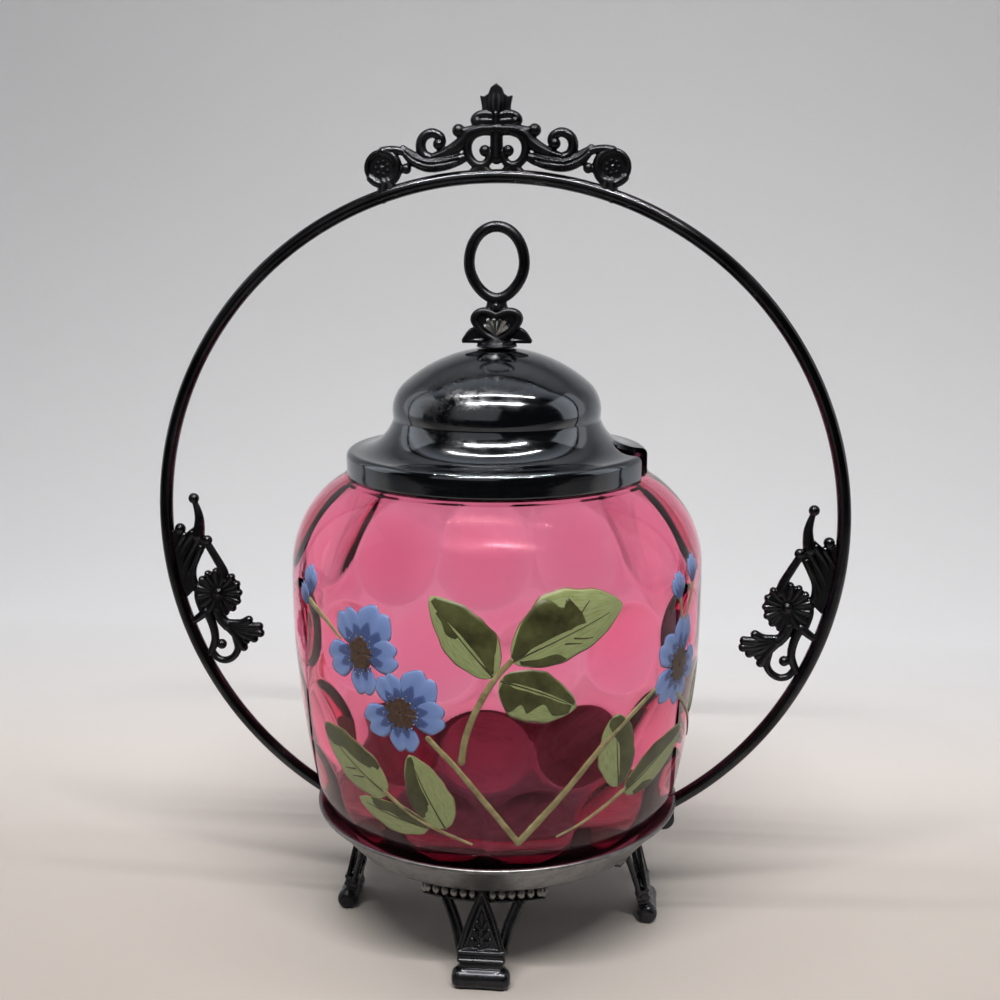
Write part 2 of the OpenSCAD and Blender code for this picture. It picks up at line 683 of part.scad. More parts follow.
// The finial casting: collar, two leaves, heart, neck and oval ring
module finial() {
    lobe_d = heart_w / 2;
    root_d = collar_r * 0.9;
    tip_d = heart_h * 0.12;
    top_d = heart_h * 0.2;
    point_d = heart_h * 0.3;
    half_w = (ring_w - ring_rod_d) / 2;
    half_h = (ring_h - ring_rod_d) / 2;
    ring_steps = 28;
    fine = 20;
    color(metal_dark) {
        translate([0, 0, finial_z])
            cylinder(r1 = collar_r, r2 = collar_r * 0.8, h = collar_t * 1.4, $fn = 48);
        for (side = [-1, 1]) {
            // Leaf under the heart
            hull() {
                translate([0, 0, finial_z + solder_gap + root_d / 2]) sphere(d = root_d, $fn = fine);
                translate([side * (leaf_span - tip_d) / 2, 0, heart_z + tip_d / 2 - collar_t * 0.2])
                    sphere(d = tip_d, $fn = fine);
                translate([side * leaf_span * 0.3, 0, heart_z + heart_h * 0.4])
                    sphere(d = top_d, $fn = fine);
            }
            // Half of the heart, from its lobe to its tip
            hull() {
                translate([side * lobe_d / 2, 0, heart_z + heart_h - lobe_d / 2])
                    sphere(d = lobe_d, $fn = fine);
                translate([0, 0, heart_z + point_d / 2]) sphere(d = point_d, $fn = fine);
            }
        }
        // Neck with its bead
        hull() {
            translate([0, 0, heart_z + heart_h * 0.75]) sphere(d = lobe_d, $fn = fine);
            translate([0, 0, ring_z - half_h]) sphere(d = ring_rod_d * 1.3, $fn = fine);
        }
        translate([0, -ring_rod_d * 0.6, heart_z + heart_h + finial_neck_h / 2])
            sphere(d = neck_bead_d, $fn = fine);
        // Oval ring
        for (i = [0:ring_steps - 1])
            hull()
                for (turn = [i, i + 1] * 360 / ring_steps)
                    translate([half_w * sin(turn), 0, ring_z - half_h * cos(turn)])
                        sphere(d = ring_rod_d, $fn = 14);
    }
}

washer_top_z = seat_z + crown_c[1] + sqrt(pow(crown_r - lid_t, 2) - pow(washer_r, 2)) - solder_gap;
washer_z = washer_top_z - washer_t;

module finial_stud() {
    stud_end_z = washer_z - nut_t - stud_r * 0.7;
    color(metal_dark) translate([0, 0, stud_end_z]) cylinder(r = stud_r, h = finial_z - stud_end_z);
}

module finial_washer() {
    color(metal)
        difference() {
            translate([0, 0, washer_z]) cylinder(r = washer_r, h = washer_t);
            cylinder(r = stud_r + stud_gap, h = 2 * dome_top_z);
        }
}

module finial_nut() {
    color(metal)
        difference() {
            translate([0, 0, washer_z - nut_t]) cylinder(r = nut_w / sqrt(3), h = nut_t, $fn = 6);
            cylinder(r = stud_r + stud_gap, h = 2 * dome_top_z);
        }
}

tray_dish();
handle_hoop();
hoop_lug_left();
hoop_lug_right();
crest_casting();
side_scroll_left();
side_scroll_right();
gallery_front();
gallery_right();
gallery_back();
gallery_left();
leg_front();
leg_right();
leg_back();
leg_left();
glass_jar();
lid_shell();
finial();
finial_stud();
finial_washer();
finial_nut();
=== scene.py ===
import math
import random

import bmesh
import bpy
from mathutils import Matrix, Vector


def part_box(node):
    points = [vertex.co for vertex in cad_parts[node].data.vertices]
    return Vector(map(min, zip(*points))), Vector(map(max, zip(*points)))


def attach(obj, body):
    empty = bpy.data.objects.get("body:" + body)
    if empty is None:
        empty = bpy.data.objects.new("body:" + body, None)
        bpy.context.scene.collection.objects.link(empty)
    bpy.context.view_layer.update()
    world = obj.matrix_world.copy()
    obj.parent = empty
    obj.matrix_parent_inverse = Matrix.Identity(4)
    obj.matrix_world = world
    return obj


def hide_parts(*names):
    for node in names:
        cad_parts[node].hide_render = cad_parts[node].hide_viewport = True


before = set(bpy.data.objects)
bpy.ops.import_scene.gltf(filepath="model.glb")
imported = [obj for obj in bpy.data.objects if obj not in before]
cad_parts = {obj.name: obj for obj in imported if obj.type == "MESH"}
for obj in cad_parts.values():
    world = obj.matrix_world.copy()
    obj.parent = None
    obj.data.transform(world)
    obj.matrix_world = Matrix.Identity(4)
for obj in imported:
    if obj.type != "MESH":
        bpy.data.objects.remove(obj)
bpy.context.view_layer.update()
draw = random.Random(7)

# Lengths below are in millimetres, in the frame's own axes, and become metres in make_piece
MM = 0.001
FRAME, JAR, LID = "frame", "jar", "lid"


def box_mm(node):
    lo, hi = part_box(node)
    return Vector(lo) / MM, Vector(hi) / MM


tray_lo, tray_hi = box_mm("tray_dish")
hoop_hi = box_mm("handle_hoop")[1]
jar_lo, jar_hi = box_mm("glass_jar")
lid_lo, lid_hi = box_mm("lid_shell")
finial_lo, finial_hi = box_mm("finial")
gallery_lo = box_mm("gallery_right")[0]

TRAY_Z, BRIM_Z = tray_lo.z, tray_hi.z
BRIM_R = 46.9
TRAY_BASE_R = 38.6
TRAY_T = 1.2
HOOP_ROD_R = hoop_hi.y
HOOP_OUT_R = hoop_hi.x
HOOP_R = HOOP_OUT_R - HOOP_ROD_R
HOOP_TOP = hoop_hi.z
HOOP_Z = HOOP_TOP - HOOP_OUT_R
SEAT_Z = lid_lo.z
FLOOR_Z = jar_lo.z

# Glass jar: a barrel circle with base and shoulder roundings at a tangent
JAR_R = jar_hi.x
BARREL_R = 240
BASE_ROUND = 20.4
INSIDE_ROUND = 15
SHOULDER_ROUND = 25.2
MID_H = 62.8
SHOULDER_H = 71.5
GLASS_T = 2.8
GLASS_BASE_T = 6.3
NECK_R = 33.9
NECK_IN_R = 31
SEAT_R = 38.1
NECK_TOP = jar_hi.z
# The glass stands this far inside the CAD surface, so that the raised enamel keeps within it
ENAMEL_ROOM = 0.3

# Thumbprints moulded into the glass: rows of [height, turn of the first print]
PRINT_ROWS = [(107, 2.7), (85, 15.5), (63, 2.7), (43, 15.5)]
PRINTS_ROUND = 14
PRINT_R = 10.6
PRINT_DEPTH = 0.12
PRINT_LENS = 1.5


# Mesh helpers

def arc(centre, r, a0, a1, steps):
    """Points of an arc in a profile's plane, angles in degrees."""
    turns = [math.radians(a0 + (a1 - a0) * i / steps) for i in range(steps + 1)]
    return [(centre[0] + r * math.cos(a), centre[1] + r * math.sin(a)) for a in turns]


def spiral(centre, r0, r1, a0, a1, steps):
    """Points of a spiral in the hoop's plane, as (x, z)."""
    out = []
    for i in range(steps + 1):
        f = i / steps
        a = math.radians(a0 + (a1 - a0) * f)
        r = r0 + (r1 - r0) * f
        out.append((centre[0] + r * math.cos(a), centre[1] + r * math.sin(a)))
    return out


def smooth_path(points, steps=6):
    """A Catmull-Rom curve through the points, which are tuples of any length."""
    pts = [Vector(p) for p in points]
    ends = [2 * pts[0] - pts[1]] + pts + [2 * pts[-1] - pts[-2]]
    out = []
    for i in range(1, len(ends) - 2):
        p0, p1, p2, p3 = ends[i - 1:i + 3]
        for k in range(steps):
            t = k / steps
            out.append(0.5 * (2 * p1 + (p2 - p0) * t + (2 * p0 - 5 * p1 + 4 * p2 - p3) * t * t
                              + (3 * p1 - p0 - 3 * p2 + p3) * t ** 3))
    return out + [pts[-1]]


def in_plane(points):
    """(x, z) points of the hoop's plane in space."""
    return [Vector((p[0], 0, p[1])) for p in points]


def add_tube(bm, path, r0, r1=None, flat=1.0, across=Vector((0, 1, 0)), sides=14, mid=None):
    """A round or flattened rod with domed ends. across is the direction of its flattened axis."""
    r1 = r0 if r1 is None else r1
    last = len(path) - 1
    cap = [0.35, 0.75, 0.95]
    rings = []

    def ring(p, t, r, ref):
        side = t.cross(ref).normalized()
        up = side.cross(t).normalized()
        turns = [2 * math.pi * k / sides for k in range(sides)]
        return [bm.verts.new(p + side * (r * math.cos(a)) + up * (r * flat * math.sin(a))) for a in turns]

    for i, p in enumerate(path):
        t = (path[min(i + 1, last)] - path[max(i - 1, 0)]).normalized()
        ref = across[i] if isinstance(across, list) else across
        f = i / last
        r = r0 + (r1 - r0) * f
        if mid is not None:
            r = r + (mid - (r0 + r1) / 2) * math.sin(math.pi * f)
        if i == 0:
            rings += [ring(p - t * (r * math.sqrt(1 - c * c)), t, r * c, ref) for c in cap]
        rings.append(ring(p, t, r, ref))
        if i == last:
            rings += [ring(p + t * (r * math.sqrt(1 - c * c)), t, r * c, ref) for c in reversed(cap)]
    for a, b in zip(rings, rings[1:]):
        for k in range(sides):
            bm.faces.new((a[k], a[(k + 1) % sides], b[(k + 1) % sides], b[k]))
    bm.faces.new(list(reversed(rings[0])))
    bm.faces.new(rings[-1])


def add_rod(bm, points, d0, d1=None, flat=1.0, steps=5, mid=None):
    """A rod of a casting along (x, z) points of the hoop's plane, by its diameters."""
    d1 = d0 if d1 is None else d1
    path = in_plane(smooth_path(points, steps))
    add_tube(bm, path, d0 / 2, d1 / 2, flat, mid=None if mid is None else mid / 2)


def add_ball(bm, centre, r, stretch=(1, 1, 1), turn=0.0, detail=16):
    place = Matrix.Translation(centre) @ Matrix.Rotation(turn, 4, "Y") @ Matrix.Diagonal((*stretch, 1))
    bmesh.ops.create_uvsphere(bm, u_segments=detail, v_segments=detail // 2 + 2, radius=r, matrix=place)


def add_bead(bm, x, z, r, stretch=(1, 1, 1)):
    """A ball of a casting at a point of the hoop's plane."""
    add_ball(bm, Vector((x, 0, z)), r, stretch)


def add_plate(bm, outline, y0, y1, place=Matrix.Identity(4)):
    """A flat plate of an (x, z) outline, from y0 to y1."""
    near = [bm.verts.new(place @ Vector((x, y0, z))) for x, z in outline]
    far = [bm.verts.new(place @ Vector((x, y1, z))) for x, z in outline]
    n = len(outline)
    bm.faces.new(near)
    bm.faces.new(list(reversed(far)))
    for i in range(n):
        j = (i + 1) % n
        bm.faces.new((near[j], near[i], far[i], far[j]))


def add_leaf(bm, base, tip, width, thick, groove=0.35):
    """A pointed leaf of a casting, with a groove along its middle on both faces, from base to tip (x, z)."""
    base, tip = Vector((base[0], 0, base[1])), Vector((tip[0], 0, tip[1]))
    along = tip - base
    side = along.normalized().cross(Vector((0, 1, 0)))
    n_t, n_s = 12, 8
    grid = {}
    for face in (-1, 1):
        for i in range(n_t + 1):
            t = i / n_t
            half = width / 2 * math.sin(math.pi * (0.12 + 0.88 * t) ** 0.85) + 0.04
            for k in range(n_s + 1):
                s = -1 + 2 * k / n_s
                rim = (1 - s * s) ** 0.5 if abs(s) < 1 else 0
                dip = 1 - groove * math.exp(-(s / 0.22) ** 2)
                lift = thick / 2 * (0.25 + 0.75 * rim) * dip * (1 - 0.6 * t * t)
                at = base + along * t + side * (s * half) + Vector((0, face * lift, 0))
                grid[face, i, k] = bm.verts.new(at)
    for i in range(n_t):
        for k in range(n_s):
            a = [(i, k), (i + 1, k), (i + 1, k + 1), (i, k + 1)]
            bm.faces.new([grid[1, i_, k_] for i_, k_ in a])
            bm.faces.new([grid[-1, i_, k_] for i_, k_ in reversed(a)])
    rim = [(i, 0) for i in range(n_t + 1)] + [(n_t, k) for k in range(1, n_s + 1)]
    rim += [(i, n_s) for i in range(n_t - 1, -1, -1)] + [(0, k) for k in range(n_s - 1, 0, -1)]
    for (i, k), (i2, k2) in zip(rim, rim[1:] + rim[:1]):
        bm.faces.new((grid[-1, i, k], grid[-1, i2, k2], grid[1, i2, k2], grid[1, i, k]))


def add_lathe(bm, profile, segments, place=Matrix.Identity(4), offset=None):
    """A turned solid of (r, z) points that start and end on the axis. offset(i, angle) moves a point
    inwards along the profile's normal."""
    n = len(profile)
    normals = []
    for i in range(n):
        a, b = Vector(profile[max(i - 1, 0)]), Vector(profile[min(i + 1, n - 1)])
        t = (b - a).normalized()
        normals.append(Vector((t.y, -t.x)))
    rows = []
    for i, (r, z) in enumerate(profile):
        if r < 1e-6:
            rows.append([bm.verts.new(place @ Vector((0, 0, z)))])
            continue
        row = []
        for k in range(segments):
            a = 2 * math.pi * k / segments
            d = offset(i, a) if offset else 0
            q = r - normals[i].x * d
            p = Vector((q * math.sin(a), -q * math.cos(a), z - normals[i].y * d))
            row.append(bm.verts.new(place @ p))
        rows.append(row)
    for a, b in zip(rows, rows[1:]):
        for k in range(segments):
            j = (k + 1) % segments
            if len(a) == 1:
                bm.faces.new((a[0], b[j], b[k]))
            elif len(b) == 1:
                bm.faces.new((a[k], a[j], b[0]))
            else:
                bm.faces.new((a[k], a[j], b[j], b[k]))


def mirrored(bm):
    """Adds the mirror image over x = 0 of everything in bm."""
    geom = bmesh.ops.duplicate(bm, geom=bm.verts[:] + bm.edges[:] + bm.faces[:])["geom"]
    verts = [g for g in geom if isinstance(g, bmesh.types.BMVert)]
    faces = [g for g in geom if isinstance(g, bmesh.types.BMFace)]
    for v in verts:
        v.co.x = -v.co.x
    bmesh.ops.reverse_faces(bm, faces=faces)


def link_mesh(name, bm, material=None, scale=1.0):
    """An object in the scene of everything in bm, scaled."""
    mesh = bpy.data.meshes.new(name)
    bm.to_mesh(mesh)
    bm.free()
    mesh.transform(Matrix.Scale(scale, 4))
    if material:
        mesh.materials.append(material)
    thing = bpy.data.objects.new(name, mesh)
    bpy.context.scene.collection.objects.link(thing)
    return thing


def smooth_faces(mesh, smooth=True):
    mesh.polygons.foreach_set("use_smooth", [smooth] * len(mesh.polygons))


def with_modifiers(thing):
    """A new mesh of an object as its modifiers leave it."""
    graph = bpy.context.evaluated_depsgraph_get()
    return bpy.data.meshes.new_from_object(thing.evaluated_get(graph))


def remove_with_mesh(thing):
    mesh = thing.data
    bpy.data.objects.remove(thing)
    bpy.data.meshes.remove(mesh)


def cast(bm, voxel, soften):
    """Fuses overlapping closed shapes into one skin, as a casting: a voxel remesh, then smoothing."""
    rough = link_mesh("rough", bm)
    skin = rough.modifiers.new("skin", "REMESH")
    skin.mode = "VOXEL"
    skin.voxel_size = voxel
    ease = rough.modifiers.new("ease", "SMOOTH")
    ease.factor = 0.5
    ease.iterations = soften
    done = with_modifiers(rough)
    remove_with_mesh(rough)
    out = bmesh.new()
    out.from_mesh(done)
    bpy.data.meshes.remove(done)
    return out


def make_piece(name, bm, material, body, replaces=(), smooth=True):
    """A finished piece in metres, riding on its body."""
    bmesh.ops.recalc_face_normals(bm, faces=bm.faces[:])
    piece = link_mesh(name, bm, material, MM)
    smooth_faces(piece.data, smooth)
    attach(piece, body)
    if replaces:
        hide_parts(*replaces)
    return piece


# Materials

def srgb(r, g, b):
    """A colour given as 0 to 255 screen values, as the linear colour of a socket."""
    def linear(v):
        v /= 255
        return v / 12.92 if v <= 0.04045 else ((v + 0.055) / 1.055) ** 2.4
    return (linear(r), linear(g), linear(b), 1)


class Shader:
    """A material and short calls for its nodes."""

    def __init__(self, name):
        self.material = bpy.data.materials.new(name)
        self.material.use_nodes = True
        self.nodes = self.material.node_tree.nodes
        self.links = self.material.node_tree.links
        self.bsdf = self.nodes["Principled BSDF"]
        self.output = self.nodes["Material Output"]
        self.coord = self.nodes.new("ShaderNodeTexCoord")

    def set(self, **values):
        for key, value in values.items():
            self.bsdf.inputs[key.replace("_", " ")].default_value = value

    def link(self, source, socket):
        self.links.new(source, self.bsdf.inputs[socket])

    def noise(self, scale, detail=4, rough=0.55, stretch=None, coord="Object"):
        node = self.nodes.new("ShaderNodeTexNoise")
        node.inputs["Scale"].default_value = scale
        node.inputs["Detail"].default_value = detail
        node.inputs["Roughness"].default_value = rough
        source = self.coord.outputs[coord]
        if stretch:
            mapping = self.nodes.new("ShaderNodeMapping")
            mapping.inputs["Scale"].default_value = stretch
            self.links.new(source, mapping.inputs["Vector"])
            source = mapping.outputs["Vector"]
        self.links.new(source, node.inputs["Vector"])
        return node.outputs["Fac"]

    def ramp(self, fac, stops):
        node = self.nodes.new("ShaderNodeValToRGB")
        elements = node.color_ramp.elements
        while len(elements) < len(stops):
            elements.new(0.5)
        for element, (at, colour) in zip(elements, stops):
            element.position = at
            element.color = colour if isinstance(colour, tuple) else (colour, colour, colour, 1)
        self.links.new(fac, node.inputs["Fac"])
        return node.outputs["Color"]

    def mix(self, fac, a, b, blend="MIX"):
        node = self.nodes.new("ShaderNodeMix")
        node.data_type = "RGBA"
        node.blend_type = blend
        for source, socket in ((fac, node.inputs[0]), (a, node.inputs[6]), (b, node.inputs[7])):
            if isinstance(source, (tuple, float, int)):
                socket.default_value = source
            else:
                self.links.new(source, socket)
        return node.outputs[2]

    def math(self, kind, a, b):
        node = self.nodes.new("ShaderNodeMath")
        node.operation = kind
        for source, socket in ((a, node.inputs[0]), (b, node.inputs[1])):
            if isinstance(source, (float, int)):
                socket.default_value = source
            else:
                self.links.new(source, socket)
        return node.outputs[0]

    def bump(self, height, strength, distance):
        node = self.nodes.new("ShaderNodeBump")
        node.inputs["Strength"].default_value = strength
        node.inputs["Distance"].default_value = distance
        self.links.new(height, node.inputs["Height"])
        self.links.new(node.outputs["Normal"], self.bsdf.inputs["Normal"])

    def uv(self):
        split = self.nodes.new("ShaderNodeSeparateXYZ")
        self.links.new(self.coord.outputs["UV"], split.inputs[0])
        return split.outputs[0], split.outputs[1]

    def pointiness(self):
        return self.nodes.new("ShaderNodeNewGeometry").outputs["Pointiness"]


def tarnished_silver(name, dark, light, rough, cloud=38, grain=0.02, wear=True):
    """Old silver plate: cloudy tarnish, worn bright on raised edges, fine wiping marks."""
    s = Shader(name)
    s.set(Metallic=1.0)
    clouds = s.noise(cloud, 7, 0.6)
    middle = tuple(0.5 * (a + b) for a, b in zip(dark, light))
    film = s.ramp(clouds, [(0.36, dark), (0.52, middle), (0.7, light)])
    specks = s.ramp(s.noise(cloud * 14, 5, 0.7), [(0.38, 0.55), (0.55, 1.0)])
    colour = s.mix(0.55, film, s.mix(1.0, film, specks, "MULTIPLY"))
    if wear:
        edges = s.ramp(s.pointiness(), [(0.47, 0.0), (0.56, 1.0)])
        hollow = s.ramp(s.pointiness(), [(0.40, 0.35), (0.5, 1.0)])
        colour = s.mix(1.0, colour, hollow, "MULTIPLY")
        worn = tuple(min(1.0, 1.9 * v) for v in light[:3]) + (1,)
        colour = s.mix(s.math("MULTIPLY", edges, 0.5), colour, worn)
    s.link(colour, "Base Color")
    lo, hi = rough
    s.link(s.ramp(s.noise(cloud * 3, 5, 0.6), [(0.35, lo), (0.68, hi)]), "Roughness")
    s.bump(s.noise(900, 3, 0.6), 0.25, grain * MM)
    return s.material


def lid_silver(name):
    """The lid's plate: a grey mirror with cloudy tarnish, thickest at the front left of the dome."""
    s = Shader(name)
    s.set(Metallic=1.0)
    spread = s.nodes.new("ShaderNodeVectorMath")
    spread.operation = "DISTANCE"
    spread.inputs[1].default_value = (-0.009, -0.0235, 0.139)
    s.links.new(s.coord.outputs["Object"], spread.inputs[0])
    near = s.ramp(s.math("MULTIPLY", spread.outputs["Value"], 40.0), [(0.1, 1.0), (0.6, 0.0)])
    grit = s.ramp(s.noise(300, 8, 0.75), [(0.42, 0.0), (0.6, 1.0)])
    bloom = s.ramp(s.noise(34, 9, 0.62), [(0.5, 0.0), (0.66, 0.4)])
    patch = s.math("MULTIPLY", s.mix(1.0, near, bloom, "LIGHTEN"), grit)
    film = s.ramp(s.noise(17, 5, 0.5), [(0.3, srgb(98, 102, 106)), (0.5, srgb(114, 118, 122)),
                                        (0.7, srgb(104, 109, 116))])
    s.link(s.mix(s.math("MULTIPLY", patch, 0.7), film, srgb(96, 91, 88)), "Base Color")
    haze = s.ramp(patch, [(0.0, 0.07), (1.0, 0.34)])
    streaks = s.ramp(s.noise(260, 3, 0.6, (1, 1, 6)), [(0.4, 0.0), (0.7, 0.07)])
    s.link(s.mix(1.0, haze, streaks, "ADD"), "Roughness")
    s.bump(s.noise(48, 3, 0.5), 0.14, 0.2 * MM)
    return s.material


def ruby_glass(name):
    """Ruby glass with the colour in its skin, deeper where it is thicker, and faint mould ripples."""
    s = Shader(name)
    s.set(IOR=1.45, Transmission_Weight=1.0, Specular_Tint=(1, 0.45, 0.55, 1))
    s.link(s.ramp(s.noise(26, 3, 0.5), [(0.3, (1, 0.67, 0.76, 1)), (0.7, (1, 0.72, 0.80, 1))]), "Base Color")
    s.link(s.ramp(s.noise(60, 4, 0.5), [(0.3, 0.0), (0.75, 0.03)]), "Roughness")
    s.bump(s.noise(34, 2, 0.4), 0.16, 0.35 * MM)
    absorb = s.nodes.new("ShaderNodeVolumeAbsorption")
    absorb.inputs["Color"].default_value = (0.975, 0.06, 0.40, 1)
    absorb.inputs["Density"].default_value = 130
    s.links.new(absorb.outputs[0], s.output.inputs["Volume"])
    return s.material


def petal_enamel(name):
    """Blue petals with darker tongues of paint out from the flower's middle and a fine dark edge."""
    s = Shader(name)
    u, v = s.uv()
    brush = s.noise(8, 3, 0.6, (2.4, 0.8, 1), "UV")
    tongues = s.math("ABSOLUTE", s.math("SINE", s.math("MULTIPLY", u, 7.2), 0.0), 0.0)
    reach = s.math("ADD", s.math("MULTIPLY", tongues, -0.2), s.math("MULTIPLY", brush, 0.22))
    tone = s.math("ADD", v, reach)
    paint = s.ramp(tone, [(0.40, srgb(62, 80, 130)), (0.47, srgb(76, 96, 150)), (0.51, srgb(108, 132, 186)),
                          (0.75, srgb(116, 140, 194)), (1.0, srgb(126, 150, 202))])
    side = s.math("ABSOLUTE", s.math("SUBTRACT", u, 0.5), 0.0)
    tip_edge = s.ramp(v, [(0.955, 0.0), (0.985, 1.0)])
    side_edge = s.ramp(side, [(0.475, 0.0), (0.49, 1.0)])
    rim = s.mix(1.0, tip_edge, side_edge, "LIGHTEN")
    s.link(s.mix(s.math("MULTIPLY", rim, 0.65), paint, srgb(84, 72, 112)), "Base Color")
    s.link(s.ramp(brush, [(0.3, 0.32), (0.7, 0.5)]), "Roughness")
    s.bump(s.noise(22, 4, 0.6, (3, 0.6, 1), "UV"), 0.4, 0.1 * MM)
    return s.material


def leaf_enamel(name):
    """Light green leaf, brushed along its length, with a pale brown edge."""
    s = Shader(name)
    u = s.uv()[0]
    brush = s.noise(9, 4, 0.6, (3, 0.9, 1), "UV")
    paint = s.ramp(brush, [(0.3, srgb(118, 128, 80)), (0.5, srgb(140, 150, 100)),
                           (0.75, srgb(152, 160, 116))])
    edge = s.math("ABSOLUTE", s.math("SUBTRACT", u, 0.5), 0.0)
    s.link(s.mix(s.ramp(edge, [(0.47, 0.0), (0.485, 1.0)]), paint, srgb(118, 84, 66)), "Base Color")
    s.link(s.ramp(brush, [(0.3, 0.32), (0.7, 0.5)]), "Roughness")
    s.bump(brush, 0.4, 0.1 * MM)
    return s.material


def plain_enamel(name, dark, light, scale, rough=0.4):
    """One brushed colour of enamel."""
    s = Shader(name)
    strokes = s.noise(scale, 5, 0.65)
    s.link(s.ramp(strokes, [(0.32, dark), (0.66, light)]), "Base Color")
    s.link(s.ramp(strokes, [(0.3, rough - 0.1), (0.7, rough + 0.1)]), "Roughness")
    s.bump(strokes, 0.5, 0.1 * MM)
    return s.material


def backdrop_with_painted_light(name):
    """Table that is dark at the front as painted shade, warm and pale round the object and paler further back
    as painted light, and turns to a pale wall behind.
    """
    s = Shader(name)
    split = s.nodes.new("ShaderNodeSeparateXYZ")
    s.links.new(s.coord.outputs["Object"], split.inputs[0])
    depth = s.math("ADD", split.outputs[1], 0.2)
    # Painted light: the ramp paints shade on the table in front and paints light that grows towards the back
    paint = s.ramp(depth, [(0.04, srgb(70, 66, 64)), (0.13, srgb(164, 156, 150)), (0.22, srgb(184, 177, 171)),
                           (0.30, srgb(216, 211, 208)), (0.44, srgb(240, 242, 246))])
    s.link(s.mix(0.10, paint, s.ramp(s.noise(7, 4, 0.5), [(0.3, 0.45), (0.7, 0.65)])), "Base Color")
    s.link(s.ramp(s.noise(90, 4, 0.5), [(0.3, 0.55), (0.7, 0.7)]), "Roughness")
    return s.material


CASTING = tarnished_silver("casting_silver", srgb(28, 28, 30), srgb(62, 63, 66), (0.2, 0.4))
# Lighter copy of the casting's silver for the gallery beads, as painted highlight
BEAD_SILVER_HIGHLIGHT = tarnished_silver("bead_silver_painted_highlight", srgb(62, 62, 62), srgb(112, 112, 110), (0.28, 0.44), 90)
ROD = tarnished_silver("rod_silver", srgb(50, 50, 52), srgb(84, 85, 88), (0.12, 0.28), 30, wear=False)
TRAY = tarnished_silver("tray_silver", srgb(116, 116, 116), srgb(158, 158, 158), (0.28, 0.46), 30, wear=False)
# Paler copy of the tray's silver, as painted light on the floor under the glass
TRAY_FLOOR_PAINTED_LIGHT = tarnished_silver("tray_floor_silver_painted_light", srgb(188, 186, 184), srgb(218, 217, 216), (0.42, 0.6), 30,
                              wear=False)
WORN = tarnished_silver("worn_silver", srgb(140, 138, 132), srgb(205, 203, 196), (0.1, 0.26), 60)
LID_PLATE = lid_silver("lid_silver")
FASTENER = tarnished_silver("fastener_silver", srgb(80, 80, 84), srgb(128, 128, 132), (0.25, 0.45), 60)
GLASS = ruby_glass("ruby_glass")
PETAL = petal_enamel("petal_enamel")
LEAF = leaf_enamel("leaf_enamel")
STEM = plain_enamel("stem_enamel", srgb(112, 100, 66), srgb(156, 146, 104), 400)
HEART = plain_enamel("flower_heart_enamel", srgb(40, 28, 20), srgb(88, 62, 46), 1100, 0.5)
STIPPLE = plain_enamel("stipple_enamel", srgb(24, 20, 18), srgb(50, 42, 34), 900, 0.5)
POLLEN = plain_enamel("pollen_enamel", srgb(120, 128, 150), srgb(178, 182, 190), 900, 0.5)
LEAF_SHADE = plain_enamel("leaf_shade_enamel", srgb(44, 42, 20), srgb(78, 82, 44), 160)
VEIN = plain_enamel("vein_enamel", srgb(46, 42, 22), srgb(74, 72, 42), 400)


# Tray and hoop

def wall_point(at):
    """A point of the tray's outer wall, from 0 at its foot to 1 at the brim."""
    return TRAY_BASE_R + (BRIM_R - TRAY_BASE_R) * at, TRAY_Z + (BRIM_Z - TRAY_Z) * at


def build_tray():
    slope = math.atan2(BRIM_Z - TRAY_Z, BRIM_R - TRAY_BASE_R)
    up = math.degrees(slope)
    foot_round = 3
    inner_round = foot_round - TRAY_T
    foot_x = TRAY_BASE_R - foot_round * math.tan(slope / 2)
    lip = TRAY_T / 2
    rim_c = (BRIM_R - lip * math.sin(slope) - 0.3, BRIM_Z - lip)
    profile = [(0, TRAY_Z), (foot_x * 0.5, TRAY_Z)]
    profile += arc((foot_x, TRAY_Z + foot_round), foot_round, -90, up - 90, 8)
    wall = [wall_point(0.3 + 0.6 * i / 6) for i in range(7)]
    profile += wall
    profile += arc(rim_c, lip, up - 90, up + 90, 12)
    inside = [(x - TRAY_T * math.sin(slope), z + TRAY_T * math.cos(slope)) for x, z in reversed(wall[:-1])]
    profile += inside
    profile += arc((foot_x, TRAY_Z + foot_round), inner_round, up - 90, -90, 8)
    profile += [(foot_x * 0.5, TRAY_Z + TRAY_T), (0, TRAY_Z + TRAY_T)]
    bm = bmesh.new()
    add_lathe(bm, profile, 192)
    tray = make_piece("tray", bm, TRAY, FRAME, ["tray_dish"])
    # The floor under the jar is satin, and paler than the tray as painted light that comes through the glass;
    # the rest is polished
    tray.data.materials.append(TRAY_FLOOR_PAINTED_LIGHT)
    for face in tray.data.polygons:
        if face.normal.z > 0.95 and face.center.z < (TRAY_Z + 2 * TRAY_T) * MM:
            face.material_index = 1


def build_hoop():
    end = 31.2
    turns = [math.radians(-90 + end + (360 - 2 * end) * i / 300) for i in range(301)]
    path = [Vector((HOOP_R * math.cos(a), 0, HOOP_Z + HOOP_R * math.sin(a))) for a in turns]
    bm = bmesh.new()
    add_tube(bm, path, HOOP_ROD_R, sides=24)
    make_piece("hoop", bm, ROD, FRAME, ["handle_hoop"])


def build_lug(name, side, node):
    """Ribbed lug in the corner under the hoop's end."""
    lo, hi = box_mm(node)
    mid = (lo + hi) / 2
    r = (hi.z - lo.z) / 2
    bm = bmesh.new()
    ribs = 4
    for i in range(ribs):
        y = lo.y + (hi.y - lo.y) * (i + 0.5) / ribs
        add_ball(bm, Vector((mid.x, y, mid.z)), r, (0.95, (hi.y - lo.y) / ribs / r * 0.62, 0.98), detail=20)
    add_ball(bm, Vector((mid.x - side * 1.2, 0, mid.z)), r * 0.85, (1.1, 0.9, 0.9))
    make_piece(name, cast(bm, 0.16, 2), CASTING, FRAME, [node])


# Crest casting, with heights above the hoop's top

